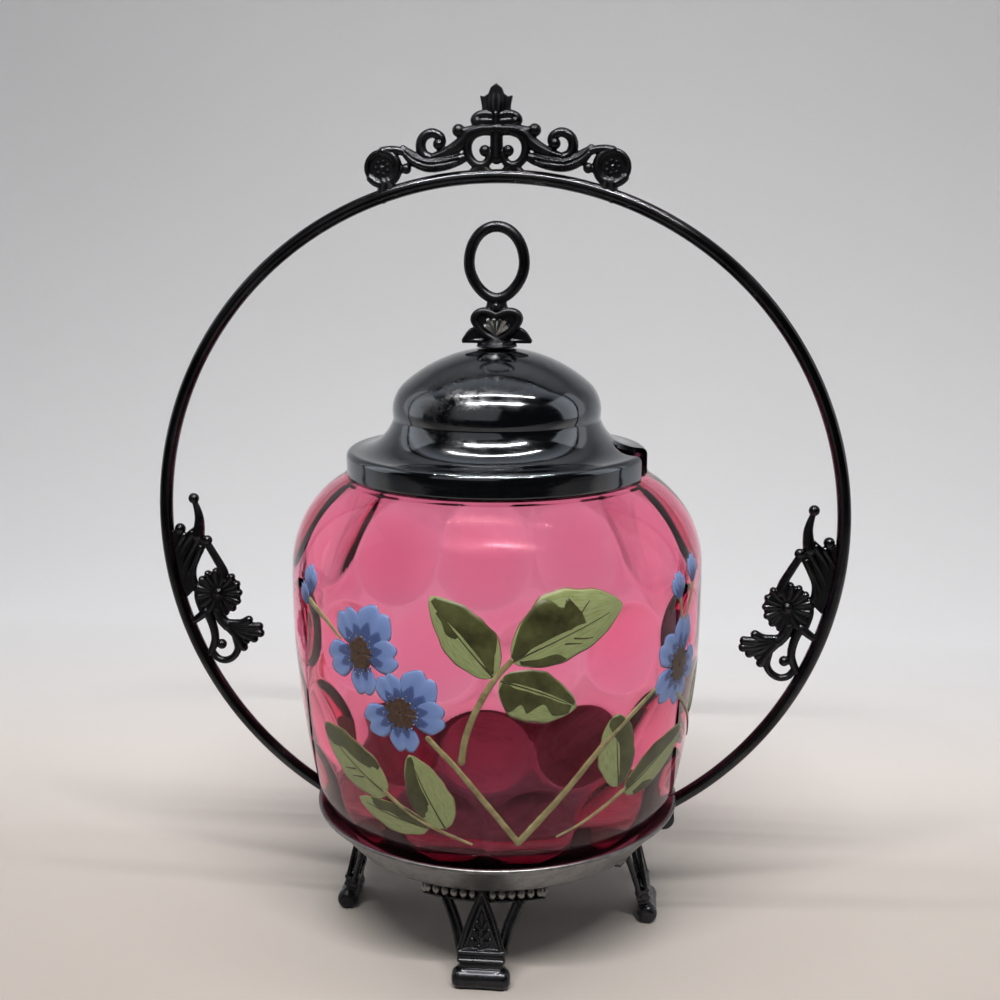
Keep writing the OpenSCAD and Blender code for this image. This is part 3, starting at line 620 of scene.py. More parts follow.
def build_crest():
    bm = bmesh.new()
    roundel, ring_r, disc_r = (27.7, 0.3), 3.8, 3.4
    # Inner loop that rests on the hoop, with its curl and its foot
    loop = [(3.2, 8.9), (5.6, 7.9), (6.9, 5.9), (6.8, 3.4), (5.6, 1.5), (3.8, 0.8), (2.3, 1.5), (1.7, 3.0),
            (2.4, 4.3)]
    add_rod(bm, loop, 2.3, 2.0, 1.15)
    add_bead(bm, 2.8, 4.2, 1.4, (1, 1.1, 1))
    add_rod(bm, [(2.0, -0.9), (3.7, 0.5), (5.6, -0.9)], 2.4, 2.4, 1.0)
    add_plate(bm, [(1.6, -1.3), (5.8, -1.3), (4.9, 0.9), (2.5, 0.9)], -1.0, 1.0)
    # Arm from the middle out to the C-scroll, with a ridge along it
    arm = [(0.2, 9.0), (3.5, 9.1), (6.4, 8.3), (8.3, 6.2), (10.7, 4.5), (13.1, 3.4), (15.3, 2.6)]
    add_rod(bm, arm, 2.8, 2.3, 0.9, mid=3.1)
    for y in (-1.1, 1.1):
        add_tube(bm, [v + Vector((0, y, 0.3)) for v in in_plane(smooth_path(arm))], 0.5, 0.4)
    add_rod(bm, [(5.4, 9.2), (7.4, 8.8), (8.8, 8.9)], 2.1, 2.1, 1.1)
    add_bead(bm, 9.1, 8.9, 1.6)
    c_scroll = [(15.8, 2.4), (17.6, 3.4), (18.3, 5.4), (17.6, 7.4), (15.6, 8.4), (13.6, 7.6), (13.2, 6.2),
                (14.0, 5.6)]
    add_rod(bm, c_scroll, 2.7, 2.1, 1.1)
    add_bead(bm, 13.9, 5.8, 1.45, (1, 1.1, 1))
    # Long leaf under the C-scroll, with its curled tip, its veins and a bead where it starts
    leaf = [(7.2, 2.9), (9.5, 2.1), (12.9, 1.35), (16.5, 1.15), (19.6, 2.2), (21.6, 3.7), (22.6, 4.9)]
    add_rod(bm, leaf, 2.0, 1.6, 0.9, mid=3.9)
    for y in (-1.5, 1.5):
        for lift, d0 in ((-0.55, 0.7), (0.5, 0.6)):
            add_tube(bm, [v + Vector((0, y, lift)) for v in in_plane(smooth_path(leaf))][6:-4], d0 * 0.6, 0.3)
    add_bead(bm, 9.3, 2.1, 1.25)
    add_leaf(bm, (17.4, 1.2), (21.6, 1.4), 2.2, 2.4)
    # Roundel: the leaf runs on into a ring round a sunk disc with a small flower, and ends in a bead
    add_rod(bm, [(20.6, 3.0), (23.0, 4.2), (25.6, 4.5), (27.6, 4.2)], 1.9, 2.2, 1.1)
    add_rod(bm, spiral(roundel, ring_r, ring_r, 95, 320, 24), 2.3, 2.1, 1.1, 1)
    tail = [(30.4, -2.2), (28.6, -3.4), (26.4, -3.1), (24.8, -1.6), (23.6, -0.4), (22.2, 0.1)]
    add_rod(bm, tail, 2.0, 1.7, 1.1)
    add_bead(bm, 21.9, 0.1, 1.3)
    turned = Matrix.Translation((roundel[0], 0, roundel[1])) @ Matrix.Rotation(math.pi / 2, 4, "X")
    add_lathe(bm, [(0, -0.55), (disc_r, -0.55), (disc_r, 0.55), (0, 0.55)], 28, turned)
    add_rod(bm, spiral(roundel, ring_r - 0.1, ring_r - 0.1, -60, 100, 18), 1.6, 1.6, 1.0, 1)
    for i in range(7):
        a = 2 * math.pi * i / 7
        add_bead(bm, roundel[0] + 1.5 * math.cos(a), roundel[1] + 1.5 * math.sin(a), 0.62, (1, 1.15, 1))
    add_bead(bm, *roundel, 0.7, (1, 1.2, 1))
    hoop_in = [math.sqrt(HOOP_R ** 2 - x * x) - HOOP_OUT_R for x in (25.2, 28.6)]
    add_rod(bm, [(26.2, -3.0), (25.6, hoop_in[0])], 2.5, 3.2, 1.0)
    add_rod(bm, [(27.4, -3.2), (27.8, hoop_in[1])], 2.5, 3.2, 1.0)
    # Palmette: solid curled shoulder and a broad side leaf
    add_rod(bm, [(0.4, 12.2), (2.2, 12.6), (4.2, 12.4), (5.3, 11.4), (4.9, 10.4)], 2.4, 1.8, 1.15)
    add_rod(bm, [(1.0, 10.9), (3.0, 11.0), (4.3, 11.0)], 2.6, 2.2, 1.0)
    add_bead(bm, 4.5, 11.0, 1.2, (1, 1.35, 1))
    side_leaf = [(0, 12.6), (3.3, 12.8), (3.5, 14.9), (3.9, 16.9), (2.9, 16.7), (2.0, 17.2), (0, 17.4)]
    add_plate(bm, side_leaf, -0.9, 0.9)
    add_rod(bm, [(2.9, 13.0), (2.95, 14.8), (3.4, 16.5)], 1.2, 0.7, 1.7)
    add_rod(bm, [(1.7, 13.0), (1.8, 15.0), (2.3, 16.8)], 0.9, 0.6, 2.2)
    mirrored(bm)
    add_rod(bm, [(0, 2.6), (0, 5.5), (0, 9.0), (0, 12.6)], 3.3, 2.9, 0.95)
    add_bead(bm, 0, 2.5, 1.5)
    add_bead(bm, 0, 9.3, 1.7, (1.5, 1, 0.8))
    add_bead(bm, 0, 12.7, 0.9, (1, 1.9, 0.9))
    middle_leaf = [(-1.6, 12.6), (1.6, 12.6), (2.0, 15.4), (1.9, 17.2), (1.3, 18.7), (0, 19.7), (-1.3, 18.7),
                   (-1.9, 17.2), (-2.0, 15.4)]
    add_plate(bm, middle_leaf, -1.1, 1.1)
    add_leaf(bm, (0, 12.6), (0, 19.75), 3.4, 3.4, 0.3)
    bmesh.ops.translate(bm, verts=bm.verts[:], vec=(0, 0, HOOP_TOP))
    make_piece("crest", cast(bm, 0.14, 3), CASTING, FRAME, ["crest_casting"])


# Side castings: points are x and a height from the hoop's centre

def build_side_scroll(name, side, node):
    bm = bmesh.new()
    rosette = Vector((73.0, 0, -19.4))
    rosette_r, ribs = 6.2, 15

    # Tong hook with its ball, and the small ball beside it
    add_rod(bm, [(78.3, 4.6), (77.7, 2.6), (77.3, 0.4), (77.4, -2.0), (77.8, -4.2)], 1.4, 3.4, 1.0)
    add_bead(bm, 78.5, 5.5, 1.4)
    add_bead(bm, 82.5, -2.6, 1.45)
    # Leaf web between the hook's foot and the hoop, with ribs along it
    web = [(84.9, -2.8), (81.1, -3.9), (79.2, -2.2), (76.2, -4.2), (76.9, -7.9), (78.4, -10.4), (79.6, -13.4),
           (79.7, -16.6), (79.2, -18.6), (81.4, -20.8), (82.9, -17.0), (84.2, -11.0)]
    add_plate(bm, web, -0.75, 0.75)
    for rib in ([(77.4, -4.4), (79.6, -8.0), (82.0, -13.0), (82.0, -18.0)],
                [(79.3, -3.6), (81.8, -7.4), (83.6, -12.0)],
                [(81.6, -4.4), (83.2, -7.0), (84.4, -9.6)],
                [(77.2, -7.4), (79.2, -11.4), (80.8, -15.0), (81.0, -19.4)]):
        add_rod(bm, rib, 2.0, 1.2, 1.15)
    # Arm from the hook's foot to the rosette, and the web's edge down to it
    add_bead(bm, 75.4, -5.5, 1.3)
    add_rod(bm, [(76.0, -5.4), (74.8, -7.6), (73.2, -10.4), (71.6, -13.4), (71.0, -15.6)], 1.9, 2.4, 1.1)
    add_rod(bm, [(76.7, -7.2), (78.2, -10.2), (79.4, -13.2), (79.4, -16.4), (78.0, -18.6)], 1.5, 1.7, 1.1)
    # Rosette: a ribbed round shell on both faces
    turned = Matrix.Translation(rosette) @ Matrix.Rotation(math.pi / 2, 4, "X")
    rim_r = rosette_r - 0.8
    add_lathe(bm, [(0, -0.9), (rim_r, -0.8), (rosette_r - 0.3, 0), (rim_r, 0.8), (0, 0.9)], 40, turned)
    for i in range(ribs):
        a = 2 * math.pi * (i + 0.5) / ribs
        out = Vector((math.cos(a), 0, math.sin(a) * 1.05))
        path = [rosette + out * r for r in (1.2, rosette_r * 0.45, rim_r)]
        add_tube(bm, path, 0.6, 0.95, flat=1.35)
    add_ball(bm, rosette, 1.5, (1, 1.15, 1))
    # Strut, branch and stem from the rosette back to the hoop
    add_rod(bm, [(78.8, -18.8), (78.8, -21.4), (78.0, -24.2)], 1.6, 1.5, 1.1)
    add_rod(bm, [(76.6, -24.6), (78.4, -26.2), (80.4, -27.6)], 2.4, 1.9, 1.1)
    add_rod(bm, [(76.4, -24.6), (75.0, -28.4), (74.5, -31.6), (75.0, -33.9), (76.0, -36.2)], 2.4, 1.9, 1.1)
    # Open scroll under the lily, with a small curl inside
    scroll = [(75.6, -35.4), (74.0, -37.4), (71.8, -37.9), (69.7, -36.8), (68.5, -34.5), (69.0, -31.4)]
    add_rod(bm, scroll, 1.8, 2.0, 1.1)
    add_rod(bm, [(74.8, -33.7), (72.9, -33.5)], 1.6, 1.5, 1.1)
    add_bead(bm, 72.8, -33.5, 1.35)
    # Lily with broad round-ended petals
    add_rod(bm, [(73.6, -24.4), (72.6, -26.6), (71.0, -28.4)], 2.8, 3.0, 1.0)
    petals = [((65.3, -26.7), 2.3), ((62.6, -28.4), 2.3), ((62.4, -30.2), 2.4), ((64.0, -31.8), 2.2)]
    for tip, end_d in petals:
        middle = (67.6, (tip[1] - 28.2) / 2 - 0.2)
        add_rod(bm, [(71.6, -27.6), middle, tip], 2.0, end_d, 1.05)
    add_rod(bm, [(71.0, -28.6), (68.8, -31.0), (66.9, -34.2)], 2.4, 2.3, 1.05)
    add_rod(bm, [(71.0, -28.6), (68.4, -30.6), (66.0, -32.6)], 2.0, 1.6, 1.05)
    if side < 0:
        for v in bm.verts:
            v.co.x = -v.co.x
        bmesh.ops.reverse_faces(bm, faces=bm.faces[:])
    bmesh.ops.translate(bm, verts=bm.verts[:], vec=(0, 0, HOOP_Z))
    make_piece(name, cast(bm, 0.14, 2), CASTING, FRAME, [node])


# Legs and galleries, modelled along +X and turned into place

FOOT_R = 39.8
ROLL_R = 2.65
ROLL_LEN = 14.2
ROLL_Z = 2.35
GALLERY_Z = gallery_lo.z
GALLERY_OUT_R = TRAY_BASE_R - 3.0
GALLERY_IN_R = GALLERY_OUT_R - 1.8
LEAN = math.atan2(FOOT_R - (GALLERY_IN_R + GALLERY_OUT_R) / 2 - 0.3, GALLERY_Z - ROLL_Z)
BLOCK_W = 11.9
BLOCK_TOP = 6.5
PANEL_W = 11.5


def build_leg(name, turn, node):
    bm = bmesh.new()
    roll = Matrix.Translation((FOOT_R, 0, ROLL_Z)) @ Matrix.Rotation(math.pi / 2, 4, "X")
    half = ROLL_LEN / 2
    end = [(0, 0), (1.2, 0.12), (2.0, 0.5), (2.5, 1.2), (ROLL_R, 2.2), (2.5, 4.2)]
    ends = [(r, -half + z) for r, z in end]
    add_lathe(bm, ends + [(r, -z) for r, z in reversed(ends)], 40, roll)
    # The leg's plane leans in from the roll: its own x is outwards and its own z is up the leg
    plane = Matrix.Translation((FOOT_R, 0, ROLL_Z)) @ Matrix.Rotation(-LEAN, 4, "Y")
    quarter = Matrix.Rotation(math.pi / 2, 4, "Z")

    def slab(z0, z1, w, out):
        """A band of the block, with a round front."""
        r = (z1 - z0) / 2
        add_plate(bm, [(-w / 2, z0), (w / 2, z0), (w / 2, z1), (-w / 2, z1)], -out + r, 1.6, plane @ quarter)
        path = [plane @ quarter @ Vector((x, -out + r, (z0 + z1) / 2)) for x in (-w / 2 + r, 0, w / 2 - r)]
        add_tube(bm, path, r, across=plane.to_3x3() @ Vector((1, 0, 0)))

    for z0, z1, inset, front in ((0.0, 2.6, 0.2, 2.0), (2.0, 4.2, 1.2, 1.5), (3.7, 4.7, 0.4, 2.0),
                                 (4.9, 5.5, 0.5, 1.9), (5.6, 6.8, 0.0, 2.3), (4.2, 6.4, 1.0, 1.4)):
        slab(z0, z1, BLOCK_W - inset, front)
    # Engraved panel: a thin plate, raised edges and sprigs in the sunk field
    base = plane @ Vector((0.6, 0, BLOCK_TOP))
    rise = TRAY_Z - 0.6 - base.z
    panel_lean = math.atan2(base.x - GALLERY_OUT_R - 0.1, rise)
    panel = Matrix.Translation(base) @ Matrix.Rotation(-panel_lean, 4, "Y") @ quarter
    apex = rise / math.cos(panel_lean)
    w = PANEL_W / 2
    add_plate(bm, [(-w, -0.4), (w, -0.4), (0.25, apex), (-0.25, apex)], -0.75, 0.0, panel)
    out = panel.to_3x3() @ Vector((0, -1, 0))

    def ridge(points, d):
        path = [panel @ Vector((x, -0.75, z)) for x, z in smooth_path(points, 4)]
        add_tube(bm, path, d / 2, d / 2 * 0.8, across=out, sides=10)

    for side in (-1, 1):
        ridge([(side * (w - 0.5), 0), (side * (w + 0.2) / 2, apex / 2), (side * 0.1, apex - 0.3)], 1.3)
        ridge([(side * (w - 1.9), 1.2), (side * 0.3, apex - 3.8)], 0.65)
        for z, reach in ((2.2, 2.2), (4.4, 1.7), (6.4, 1.1)):
            ridge([(0, z - 1.2), (side * reach * 0.6, z - 0.5), (side * reach, z + 0.7)], 0.85)
            ridge([(side * reach * 0.5, z - 0.6), (side * reach * 0.35, z + 0.3)], 0.7)
    ridge([(0, 0.4), (0.15, 4), (0, 9.2)], 0.85)
    ridge([(-w + 0.4, 0.3), (0, 0.3), (w - 0.4, 0.3)], 0.9)
    # Side struts, each of two ribs, up and out to the gallery
    leg_top = (GALLERY_Z - ROLL_Z) / math.cos(LEAN) + 0.2
    for side in (-1, 1):
        for shift, r in ((-0.75, 0.75), (0.75, 0.75), (0.0, 0.6)):
            path = [plane @ Vector((-0.5, side * (BLOCK_W / 2 - 1.2 + shift), BLOCK_TOP - 0.8)),
                    plane @ Vector((-0.5, side * (6.4 + shift), BLOCK_TOP + 6)),
                    plane @ Vector((-0.5, side * (8.7 + shift), leg_top))]
            add_tube(bm, smooth_path(path, 6), r, across=plane.to_3x3() @ Vector((1, 0, 0)))
    for v in bm.verts:
        v.co.z = max(v.co.z, 0.0)
    bmesh.ops.transform(bm, matrix=Matrix.Rotation(turn, 4, "Z"), verts=bm.verts[:])
    make_piece(name, cast(bm, 0.16, 2), CASTING, FRAME, [node])


def build_gallery(name, turn, node):
    """Beaded strip under the tray: a curved band with a fine rim above and below, and beads along it."""
    half_turn = 15 / GALLERY_OUT_R
    bead_r, beads = 1.08, 13
    bead_z = TRAY_Z - 2.05
    bead_shape = (1, 1, 1.25)

    def along(a, r, z):
        return Vector((r * math.cos(a), r * math.sin(a), z))

    band, beading = bmesh.new(), bmesh.new()
    steps = [-half_turn + 2 * half_turn * i / 32 for i in range(33)]
    mid_r = (GALLERY_IN_R + GALLERY_OUT_R) / 2 - 0.1
    up = Vector((0, 0, 1))
    for r, z, thick in ((mid_r, TRAY_Z - 0.7, 0.7), (mid_r, bead_z, 0.8), (mid_r, GALLERY_Z + 0.7, 0.7),
                        (GALLERY_OUT_R, GALLERY_Z + 0.4, 0.4), (GALLERY_OUT_R - 0.2, TRAY_Z - 0.3, 0.3)):
        add_tube(band, [along(a, r, z) for a in steps], thick, across=up, sides=12)
    for i in range(beads):
        a = half_turn * (2 * (i + 0.5) / beads - 1)
        if abs(a) > half_turn / beads * 1.5:
            add_ball(beading, along(a, GALLERY_OUT_R + 0.1, bead_z), bead_r, bead_shape)
    for side in (-1, 1):
        add_ball(beading, along(side * half_turn, GALLERY_OUT_R - 0.3, bead_z - 0.3), 1.4, (0.9, 0.8, 1.1))
    for v in band.verts:
        v.co.z = min(max(v.co.z, GALLERY_Z), TRAY_Z + 0.02)
    for bm in (band, beading):
        bmesh.ops.transform(bm, matrix=Matrix.Rotation(turn, 4, "Z"), verts=bm.verts[:])
    make_piece(name, cast(band, 0.16, 2), CASTING, FRAME, [node])
    # The beads take the lighter silver, as painted highlight
    make_piece(name + "_beads", beading, BEAD_SILVER_HIGHLIGHT, FRAME)


# Glass jar

barrel_c = Vector((JAR_R - BARREL_R, FLOOR_Z + MID_H))
shoulder_turn = math.asin((SHOULDER_H - MID_H) / BARREL_R)
shoulder_way = Vector((math.cos(shoulder_turn), math.sin(shoulder_turn)))
shoulder_c = barrel_c + (BARREL_R - SHOULDER_ROUND) * shoulder_way


def jar_face(t, z, rounding, end_r):
    """A face of the glass at a depth t, as (r, z) from the axis at height z up to radius end_r."""
    reach = BARREL_R - t - rounding
    rise = barrel_c.y - z - rounding
    base_c = (barrel_c.x + math.sqrt(reach * reach - rise * rise), z + rounding)
    base_turn = math.degrees(math.atan2(base_c[1] - barrel_c.y, base_c[0] - barrel_c.x))
    end_turn = math.degrees(math.acos((end_r - shoulder_c.x) / (SHOULDER_ROUND - t)))
    top_turn = math.degrees(shoulder_turn)
    floor = [(base_c[0] * i / 6, z) for i in range(6)]
    return (floor + arc(base_c, rounding, -90, base_turn, 40)
            + arc(barrel_c, BARREL_R - t, base_turn, top_turn, 90)[1:]
            + arc(shoulder_c, SHOULDER_ROUND - t, top_turn, end_turn, 56)[1:])


jar_outside = jar_face(ENAMEL_ROOM, FLOOR_Z, BASE_ROUND - ENAMEL_ROOM, SEAT_R)


def jar_at(z):
    """Radius and outward normal of the glass's outside at a height."""
    side = [p for p in jar_outside if p[0] > 20]
    for (r0, z0), (r1, z1) in zip(side, side[1:]):
        if z0 <= z <= z1 and z1 > z0:
            t = Vector((r1 - r0, z1 - z0)).normalized()
            return r0 + (r1 - r0) * (z - z0) / (z1 - z0), Vector((t.y, -t.x))
    return side[-1][0], Vector((0, 1))


def print_shape(degrees, r, z):
    """The thumbprints at a turn from the front and a height: 1 in the middle of one, 0 outside it."""
    step = 360 / PRINTS_ROUND
    for row_z, first in PRINT_ROWS:
        turn = (degrees - first + step / 2) % step - step / 2
        d2 = ((math.radians(turn) * r) ** 2 + (z - row_z) ** 2) / PRINT_R ** 2
        if d2 < 1:
            return 1 - d2
    return 0.0


def build_jar():
    inside = jar_face(GLASS_T, FLOOR_Z + GLASS_BASE_T, INSIDE_ROUND, NECK_IN_R)
    lip = 0.9
    neck = [(SEAT_R, SEAT_Z), (NECK_R + 0.5, SEAT_Z), (NECK_R, SEAT_Z + 0.5)]
    neck += arc((NECK_R - lip, NECK_TOP - lip), lip, 0, 90, 8)
    neck += arc((NECK_IN_R + lip, NECK_TOP - lip), lip, 90, 180, 8)
    profile = jar_outside[:-1] + neck + list(reversed(inside))
    inner_from = len(jar_outside) - 1 + len(neck)

    def press(i, a):
        r, z = profile[i]
        if r < 30 or z > SEAT_Z - 1:
            return 0.0
        shape = print_shape(math.degrees(a), r, z)
        return -PRINT_LENS * shape if i >= inner_from else PRINT_DEPTH * shape

    bm = bmesh.new()
    add_lathe(bm, profile, 320, offset=press)
    make_piece("jar_glass", bm, GLASS, JAR, ["glass_jar"])


# Enamel painting on the glass: places are [turn from the front in degrees, height]

def on_glass(degrees, z, lift):
    """The point that stands lift above the glass."""
    r, n = jar_at(z)
    q = r + (lift - PRINT_DEPTH * print_shape(degrees, r, z)) * n.x
    a = math.radians(degrees)
    return Vector((q * math.sin(a), -q * math.cos(a), z + lift * n.y))


def drape(bm, grid, lifts, uvs, sink=0.04):
    """A closed patch on the glass from a grid of [degrees, z], its lifts and its UVs."""
    layer = bm.loops.layers.uv.verify()
    rows, cols = len(grid), len(grid[0])
    top = [[bm.verts.new(on_glass(*grid[i][k], lifts[i][k])) for k in range(cols)] for i in range(rows)]
    low = [[bm.verts.new(on_glass(*grid[i][k], -sink)) for k in range(cols)] for i in range(rows)]

    def face(corners, sheet):
        f = bm.faces.new([sheet[i][k] for i, k in corners])
        for loop, (i, k) in zip(f.loops, corners):
            loop[layer].uv = uvs[i][k]

    for i in range(rows - 1):
        for k in range(cols - 1):
            quad = [(i, k), (i, k + 1), (i + 1, k + 1), (i + 1, k)]
            face(quad, top)
            face(list(reversed(quad)), low)
    rim = [(0, k) for k in range(cols)] + [(i, cols - 1) for i in range(1, rows)]
    rim += [(rows - 1, k) for k in range(cols - 2, -1, -1)] + [(i, 0) for i in range(rows - 2, 0, -1)]
    for (i, k), (i2, k2) in zip(rim, rim[1:] + rim[:1]):
        f = bm.faces.new((top[i2][k2], top[i][k], low[i][k], low[i2][k2]))
        for loop, (a, b) in zip(f.loops, ((i2, k2), (i, k), (i, k), (i2, k2))):
            loop[layer].uv = uvs[a][b]


def place_on(at, u, v):
    """The [degrees, z] of a point u across and v up, in millimetres, from a place on the glass."""
    z = at[1] + v
    return at[0] + math.degrees(u / jar_at(z)[0]), z


def add_petal(bm, at, heading, length, width):
    """A heart-shaped petal from a flower's middle, heading in degrees anticlockwise from the right."""
    n_t, n_s = 14, 16
    a = math.radians(heading)
    ca, sa = math.cos(a), math.sin(a)
    notch = draw.uniform(0.12, 0.2)
    grid, lifts, uvs = [], [], []
    for i in range(n_t + 1):
        t = i / n_t
        row, lift, uv = [], [], []
        for k in range(n_s + 1):
            s = -1 + 2 * k / n_s
            crown = math.sqrt(1 - (0.8 * s) ** 2) * (1 - notch * max(0, 1 - abs(s) / 0.5) ** 1.4)
            p = length * (0.12 + 0.88 * t * crown)
            q = s * width / 2 * (0.3 + 0.7 * math.sin(math.pi / 2 * t) ** 1.2)
            row.append(place_on(at, p * ca - q * sa, p * sa + q * ca))
            edge = min(1 - abs(s), 1 - t) * 7
            lift.append(0.03 + 0.13 * min(1, edge) + 0.025 * math.sin(9 * s))
            uv.append((0.5 + s / 2, t))
        grid.append(row)
        lifts.append(lift)
        uvs.append(uv)
    drape(bm, grid, lifts, uvs)


def build_flower(name, at, heart, petals):
    """Blue flower of [heading, length] petals round a brown stippled heart, given by its half width
    and height."""
    bm = bmesh.new()
    for heading, length in petals:
        add_petal(bm, at, heading, length, length * 0.76)
    make_piece(name + "_petals", bm, PETAL, JAR)
    bm = bmesh.new()
    rings, spokes = 6, 28
    grid, lifts, uvs = [], [], []
    for i in range(rings + 1):
        f = 0.02 + 0.98 * i / rings
        turns = [2 * math.pi * k / spokes for k in range(spokes + 1)]
        ragged = [f * (1 + 0.05 * math.sin(5 * a + 1) + 0.04 * math.sin(9 * a)) for a in turns]
        grid.append([place_on(at, heart[0] * g * math.cos(a), heart[1] * g * math.sin(a))
                     for a, g in zip(turns, ragged)])
        swell = 0.14 + 0.08 * math.sqrt(1 - f * f * 0.98)
        lifts.append([swell + 0.02 * math.sin(7 * a + 9 * f) for a in turns])
        uvs.append([(0.5 + f * math.cos(a) / 2, 0.5 + f * math.sin(a) / 2) for a in turns])
    drape(bm, grid, lifts, uvs)
    make_piece(name + "_heart", bm, HEART, JAR)
    for kind, material, count in (("stipple", STIPPLE, 40), ("pollen", POLLEN, 22)):
        bm = bmesh.new()
        for i in range(count):
            a = 2 * math.pi * i / count + draw.uniform(-0.1, 0.1)
            f = draw.uniform(0.96, 1.2)
            spot = place_on(at, heart[0] * f * math.cos(a), heart[1] * f * math.sin(a))
            add_ball(bm, on_glass(*spot, 0.08), draw.uniform(0.14, 0.2), detail=8)
        make_piece(name + "_" + kind, bm, material, JAR)


class PaintedLeaf:
    """A leaf from base to tip on the glass, with its half widths in millimetres left and right of the
    middle rib. A point of it is t from base to tip and s from -1 at the right edge to 1 at the left."""

    def __init__(self, base, tip, left, right, bend=0.0, blunt=0.8, widest=0.82):
        self.base, self.left, self.right = base, left, right
        self.bend, self.blunt, self.widest = bend, blunt, widest
        mid_r = jar_at((base[1] + tip[1]) / 2)[0]
        self.run = Vector((math.radians(tip[0] - base[0]) * mid_r, tip[1] - base[1]))
        along = self.run.normalized()
        self.side = Vector((-along.y, along.x))

    def place(self, t, s):
        shape = math.sin(math.pi * min(1, max(0, t)) ** self.widest) ** self.blunt + 0.012
        ragged = 1 + 0.035 * math.sin(13 * t + 2 * s) + 0.02 * math.sin(29 * t + self.base[0])
        half = self.left if s > 0 else self.right
        p = self.run * t + self.side * (self.bend * math.sin(math.pi * t) + s * shape * ragged * half)
        return place_on(self.base, p.x, p.y)

    def patch(self, bm, rows, n_s, low, high):
        """A patch of rows of [t, s from, s to], standing between low and high above the glass."""
        path = smooth_path(rows, 7)
        steps = [k / n_s for k in range(n_s + 1)]
        grid = [[self.place(t, a + (b - a) * f) for f in steps] for t, a, b in path]
        edges = [min(1, 6 * min(i, len(path) - 1 - i) / len(path)) for i in range(len(path))]
        lifts = [[low + (high - low) * min(e, 1, 5 * min(f, 1 - f)) for f in steps] for e in edges]
        uvs = [[(0.5 + (a + (b - a) * f) / 2, t + self.base[0] * 0.37) for f in steps] for t, a, b in path]
        drape(bm, grid, lifts, uvs)


def build_leaf(name, leaf, dark, veins=()):
    """A light green leaf with dark patches, its dark middle rib, and veins given as [t, s, t, s]."""
    bm = bmesh.new()
    leaf.patch(bm, [(t, -1, 1) for t in (0, 0.25, 0.5, 0.75, 1)], 18, 0.03, 0.13)
    make_piece(name, bm, LEAF, JAR)
    bm = bmesh.new()
    for rows in dark:
        leaf.patch(bm, rows, 8, 0.1, 0.17)
    make_piece(name + "_shade", bm, LEAF_SHADE, JAR)
    bm = bmesh.new()
    lines = [[(t, 0) for t in (0.02, 0.3, 0.6, 0.86)]] + [[(v[0], v[1]), (v[2], v[3])] for v in veins]
    for line in lines:
        add_line(bm, [leaf.place(*p) for p in smooth_path(line, 5)], 0.42, 0.18, 0.14)
    make_piece(name + "_rib", bm, VEIN, JAR)


def add_line(bm, places, w0, w1, lift):
    """A painted line along places on the glass, by its widths in millimetres."""
    path = [on_glass(p[0], p[1], lift) for p in places]
    outwards = [Vector((math.sin(math.radians(p[0])), -math.cos(math.radians(p[0])), 0)) for p in places]
    add_tube(bm, path, w0 / 2, w1 / 2, flat=0.3, across=outwards, sides=10)


def build_stem(name, points, w0, w1):
    bm = bmesh.new()
    add_line(bm, smooth_path(points, 8), w0, w1, 0.03)
    make_piece(name, bm, STEM, JAR)


def build_bud(name, at, heading, length, width):
    bm = bmesh.new()
    for turn, reach in ((-16, 0.86), (15, 0.92), (0, 1.0)):
        add_petal(bm, at, heading + turn, length * reach, width * 0.7)
    make_piece(name, bm, PETAL, JAR)


def build_flowers():
    build_flower("flower_left", (-31.2, 84.2), (3.5, 4.2),
                 [(118, 11.6), (60, 13.6), (4, 11.2), (-84, 10.4), (200, 11.8)])
    build_flower("flower_middle", (-19.3, 71.8), (4.0, 3.9),
                 [(116, 10.2), (54, 12.8), (0, 11.4), (-86, 10.2), (204, 11.2)])
    build_flower("flower_right", (62.6, 77.2), (4.0, 4.4),
                 [(76, 12.8), (138, 11.4), (214, 11.6), (276, 10.6), (350, 11)])
    build_bud("bud_left_upper", (-51.6, 93.8), 101, 8.2, 6.2)
    build_bud("bud_left_lower", (-54.4, 90.8), 120, 6.6, 5.4)
    build_bud("bud_right_lower", (62.0, 92.6), 98, 8.0, 6.2)
    build_bud("bud_right_upper", (70.5, 95.0), 84, 8.0, 6.2)
    build_stem("bud_left_stem", [(-52.4, 92.6), (-48, 91.2), (-43, 89.2), (-38.5, 86.6)], 1.9, 0.9)
    build_stem("bud_right_stem", [(62.2, 93.2), (62.8, 91.0), (63.4, 87.6)], 1.5, 0.9)
    build_stem("bud_far_stem", [(70.6, 95.6), (68.6, 92), (66.0, 88.0)], 1.5, 0.9)


